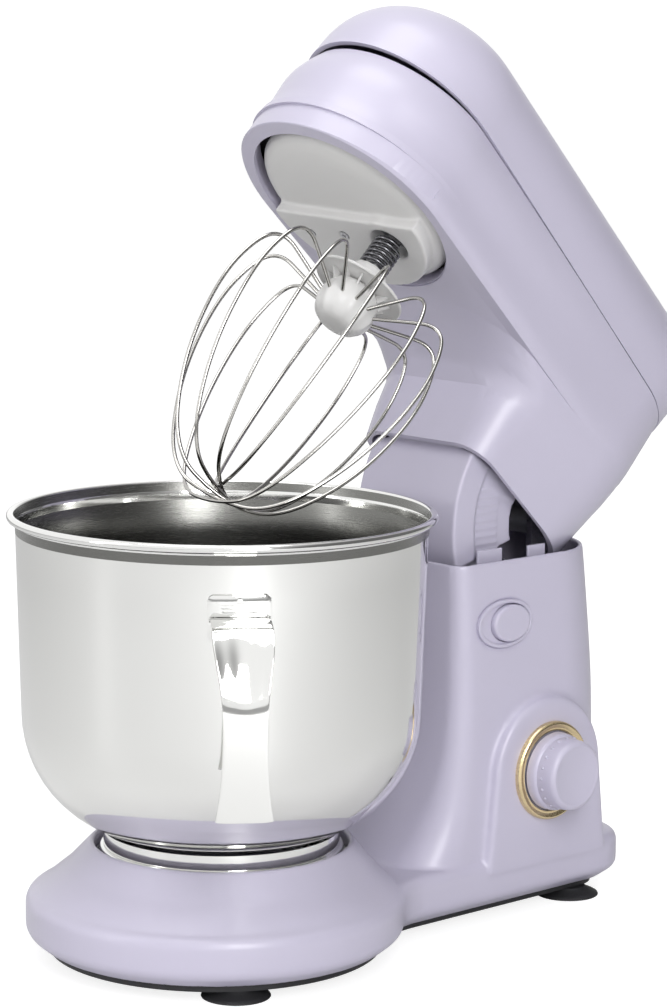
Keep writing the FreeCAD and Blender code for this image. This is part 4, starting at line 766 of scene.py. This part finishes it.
def make_handle():
    """Pressed strap of the handle, scooped over its shoulder, and the bracket that ties its lower end."""
    rows = [(104.4, 195.0, 29.0), (112.0, 195.3, 29.0), (119.0, 195.0, 29.4), (125.5, 192.4, 29.8),
            (131.5, 187.2, 29.4), (136.0, 180.5, 27.6), (139.0, 173.0, 24.8), (140.8, 162.0, 22.4),
            (141.2, 150.0, 21.4), (140.8, 137.0, 21.6), (139.6, 123.0, 22.8), (137.8, 110.5, 25.6),
            (136.4, 101.5, 28.0)]
    strap = pressed_strip(rows, 2.0, ((3, 1.2), (4, 2.6), (5, 2.8), (6, 1.4)))
    bracket = pressed_strip([(103.8, 128.0, 16.0), (110.0, 127.7, 16.0), (117.5, 125.0, 16.0),
                             (124.0, 119.5, 16.0), (129.5, 113.5, 16.0), (134.6, 109.6, 16.0)], 1.6)
    handle = merge([strap, bracket])
    seat(handle, STANDING @ HANDLE_TURN)
    finish_piece(handle, "handle_strap", "bowl", POLISHED, ["bowl_handle"], 50)


def make_handle_plate():
    """Plate welded over the strap: rounded corners and two pressed lines."""
    plate = copy_of("handle_plate")
    corners = block(90, 120, -15.4, 15.4, 184.1, 206.9)
    only(corners)
    bpy.ops.object.mode_set(mode="EDIT")
    bpy.ops.mesh.select_all(action="DESELECT")
    bpy.ops.object.mode_set(mode="OBJECT")
    for edge in corners.data.edges:
        first, second = (corners.data.vertices[i].co for i in edge.vertices)
        edge.select = abs(first.x - second.x) > mm(10)
    bpy.context.tool_settings.mesh_select_mode = (False, True, False)
    bpy.ops.object.mode_set(mode="EDIT")
    bpy.ops.mesh.bevel(offset=mm(3.0), segments=6, affect="EDGES")
    bpy.ops.object.mode_set(mode="OBJECT")
    plate = combine(plate, seat(corners, STANDING @ HANDLE_TURN), "INTERSECT")
    for z, half in ((201.4, 11.0), (199.6, 13.0)):
        line = block(106.3, 120, -half, half, z - 0.45, z + 0.45)
        plate = combine(plate, seat(line, STANDING @ HANDLE_TURN), "DIFFERENCE")
    modify(plate, "BEVEL", width=mm(0.25), segments=2, limit_method="ANGLE", angle_limit=math.radians(50))
    close_up(plate)
    finish_piece(plate, "handle_top_plate", "bowl", POLISHED, ["handle_plate"], 40)


# ------------------------------------------------------------------ feet
def make_feet():
    """Four suction feet."""
    feet = []
    for x, y in ((-64.0, -45.0), (64.0, -45.0), (-42.0, 216.0), (42.0, 216.0)):
        feet.append(lathe([(0, 2.2), (9.0, 1.8), (13.0, 1.0), (15.5, 0.0), (17.3, 0.0), (17.5, 0.3),
                           (17.2, 0.9), (15.6, 1.8), (12.4, 3.1), (10.4, 4.4), (10.0, 4.95), (6.0, 4.95),
                           (6.0, 6.8), (0, 6.8)], 72, x, y))
    foot = merge(feet)
    seat(foot, STANDING)
    finish_piece(foot, "suction_cups", "stand", RUBBER, ["suction_feet"], 40)


make_bowl()
make_foot_ring()
make_whisk_wires()
make_whisk_hub()
make_collar()
make_spring()
make_planetary_cover()
make_lower_shell()
make_neck()
make_stand()
make_knob()
make_knob_ring()
soften("button_bezel", "button_bezel_moulding", "stand", LAVENDER, 0.45, 3)
soften("release_button", "button_cap_moulding", "button", LAVENDER, 0.4, 3)
soften("column_tabs", "tab_mouldings", "stand", LAVENDER, 0.5, 3)
make_handle()
make_handle_plate()
make_feet()

# ------------------------------------------------------------------ studio
DARK_SIDE = (0.675, 0.737, 0.0)       # the room darkens towards this side
SIDE_FADE = (0.10, 0.75, 1.12, 0.16)   # start and end of the fade along it, and the two levels
ROOM_LEVEL = 0.42                     # share of the room's level that acts as a lamp


def area_light(name, place, target, size, size_y, watts, colour=(1.0, 1.0, 1.0)):
    light = bpy.data.lights.new(name, "AREA")
    light.shape = "RECTANGLE"
    light.size = size
    light.size_y = size_y
    light.energy = watts
    light.color = colour
    obj = bpy.data.objects.new(name, light)
    bpy.context.scene.collection.objects.link(obj)
    obj.location = place
    obj.rotation_euler = (Vector(target) - Vector(place)).to_track_quat("-Z", "Y").to_euler()
    return obj


def make_world():
    """White behind the object; for lamps and mirrors, a pale room that darkens to one side."""
    world = bpy.data.worlds.new("studio")
    bpy.context.scene.world = world
    world.use_nodes = True
    tree = world.node_tree
    background = tree.nodes["Background"]
    background.inputs["Color"].default_value = (1.0, 1.0, 1.0, 1.0)
    coords = tree.nodes.new("ShaderNodeTexCoord").outputs["Generated"]
    across = tree.nodes.new("ShaderNodeVectorMath")
    across.operation = "DOT_PRODUCT"
    tree.links.new(coords, across.inputs[0])
    across.inputs[1].default_value = DARK_SIDE
    side = tree.nodes.new("ShaderNodeMapRange")
    side.interpolation_type = "SMOOTHSTEP"
    tree.links.new(across.outputs["Value"], side.inputs["Value"])
    for label, value in zip(("From Min", "From Max", "To Min", "To Max"), SIDE_FADE):
        side.inputs[label].default_value = value
    path = tree.nodes.new("ShaderNodeLightPath")
    seen = math_node(tree, "MAXIMUM", path.outputs["Is Camera Ray"], path.outputs["Is Transmission Ray"])
    mirrored = math_node(tree, "MULTIPLY", path.outputs["Is Glossy Ray"], side.outputs["Result"])
    lamp = math_node(tree, "MULTIPLY", side.outputs["Result"], ROOM_LEVEL)
    unseen = math_node(tree, "MAXIMUM", mirrored, lamp)
    level = math_node(tree, "MAXIMUM", math_node(tree, "MULTIPLY", seen, 1.1), unseen)
    tree.links.new(level, background.inputs["Strength"])


def make_floor():
    """Pale floor, lifted to white for the camera."""
    deselect()
    bpy.ops.mesh.primitive_plane_add(size=400.0, location=(0, 0, 0))
    floor = bpy.context.object
    floor.name = "floor"
    material, tree, shader = new_material("pale_floor", 0.0)
    shader.inputs["Base Color"].default_value = (0.80, 0.80, 0.80, 1)
    shader.inputs["Roughness"].default_value = 0.6
    output = tree.nodes["Material Output"]
    glow = tree.nodes.new("ShaderNodeEmission")
    glow.inputs["Strength"].default_value = 1.65
    mix = tree.nodes.new("ShaderNodeMixShader")
    path = tree.nodes.new("ShaderNodeLightPath")
    share = math_node(tree, "MULTIPLY", path.outputs["Is Camera Ray"], 0.5)
    tree.links.new(share, mix.inputs["Fac"])
    tree.links.new(shader.outputs["BSDF"], mix.inputs[1])
    tree.links.new(glow.outputs["Emission"], mix.inputs[2])
    tree.links.new(mix.outputs["Shader"], output.inputs["Surface"])
    floor.data.materials.append(material)


def make_camera():
    """Long lens from the right front, a little above the bowl's rim."""
    camera = bpy.data.cameras.new("camera")
    camera.lens = CAMERA_LENS
    camera.sensor_width = CAMERA_SENSOR
    obj = bpy.data.objects.new("camera", camera)
    bpy.context.scene.collection.objects.link(obj)
    turn, dip, roll = (math.radians(v) for v in (CAMERA_TURN, CAMERA_DIP, CAMERA_ROLL))
    forward = Vector((-math.sin(turn) * math.cos(dip), math.cos(turn) * math.cos(dip), -math.sin(dip)))
    level = Vector((math.cos(turn), math.sin(turn), 0.0))
    above = level.cross(forward)
    right = level * math.cos(roll) + above * math.sin(roll)
    up = right.cross(forward)
    rotation = Matrix((right, up, -forward)).transposed()
    obj.matrix_world = Matrix.Translation(AXIS + Vector(mm(*CAMERA_PLACE))) @ rotation.to_4x4()
    bpy.context.scene.camera = obj


bpy.context.scene.view_settings.view_transform = "Standard"
make_world()
make_floor()
area_light("left_strip", (-0.6, -1.9, 1.2), (0, 0, 0.25), 0.30, 1.8, 7.5)
area_light("front_panel", (1.7, -0.9, 1.1), (0, 0, 0.2), 0.6, 1.5, 30.0)
area_light("top", (0.0, -0.2, 2.2), (0, 0, 0.2), 1.2, 1.2, 17.0)
make_camera()
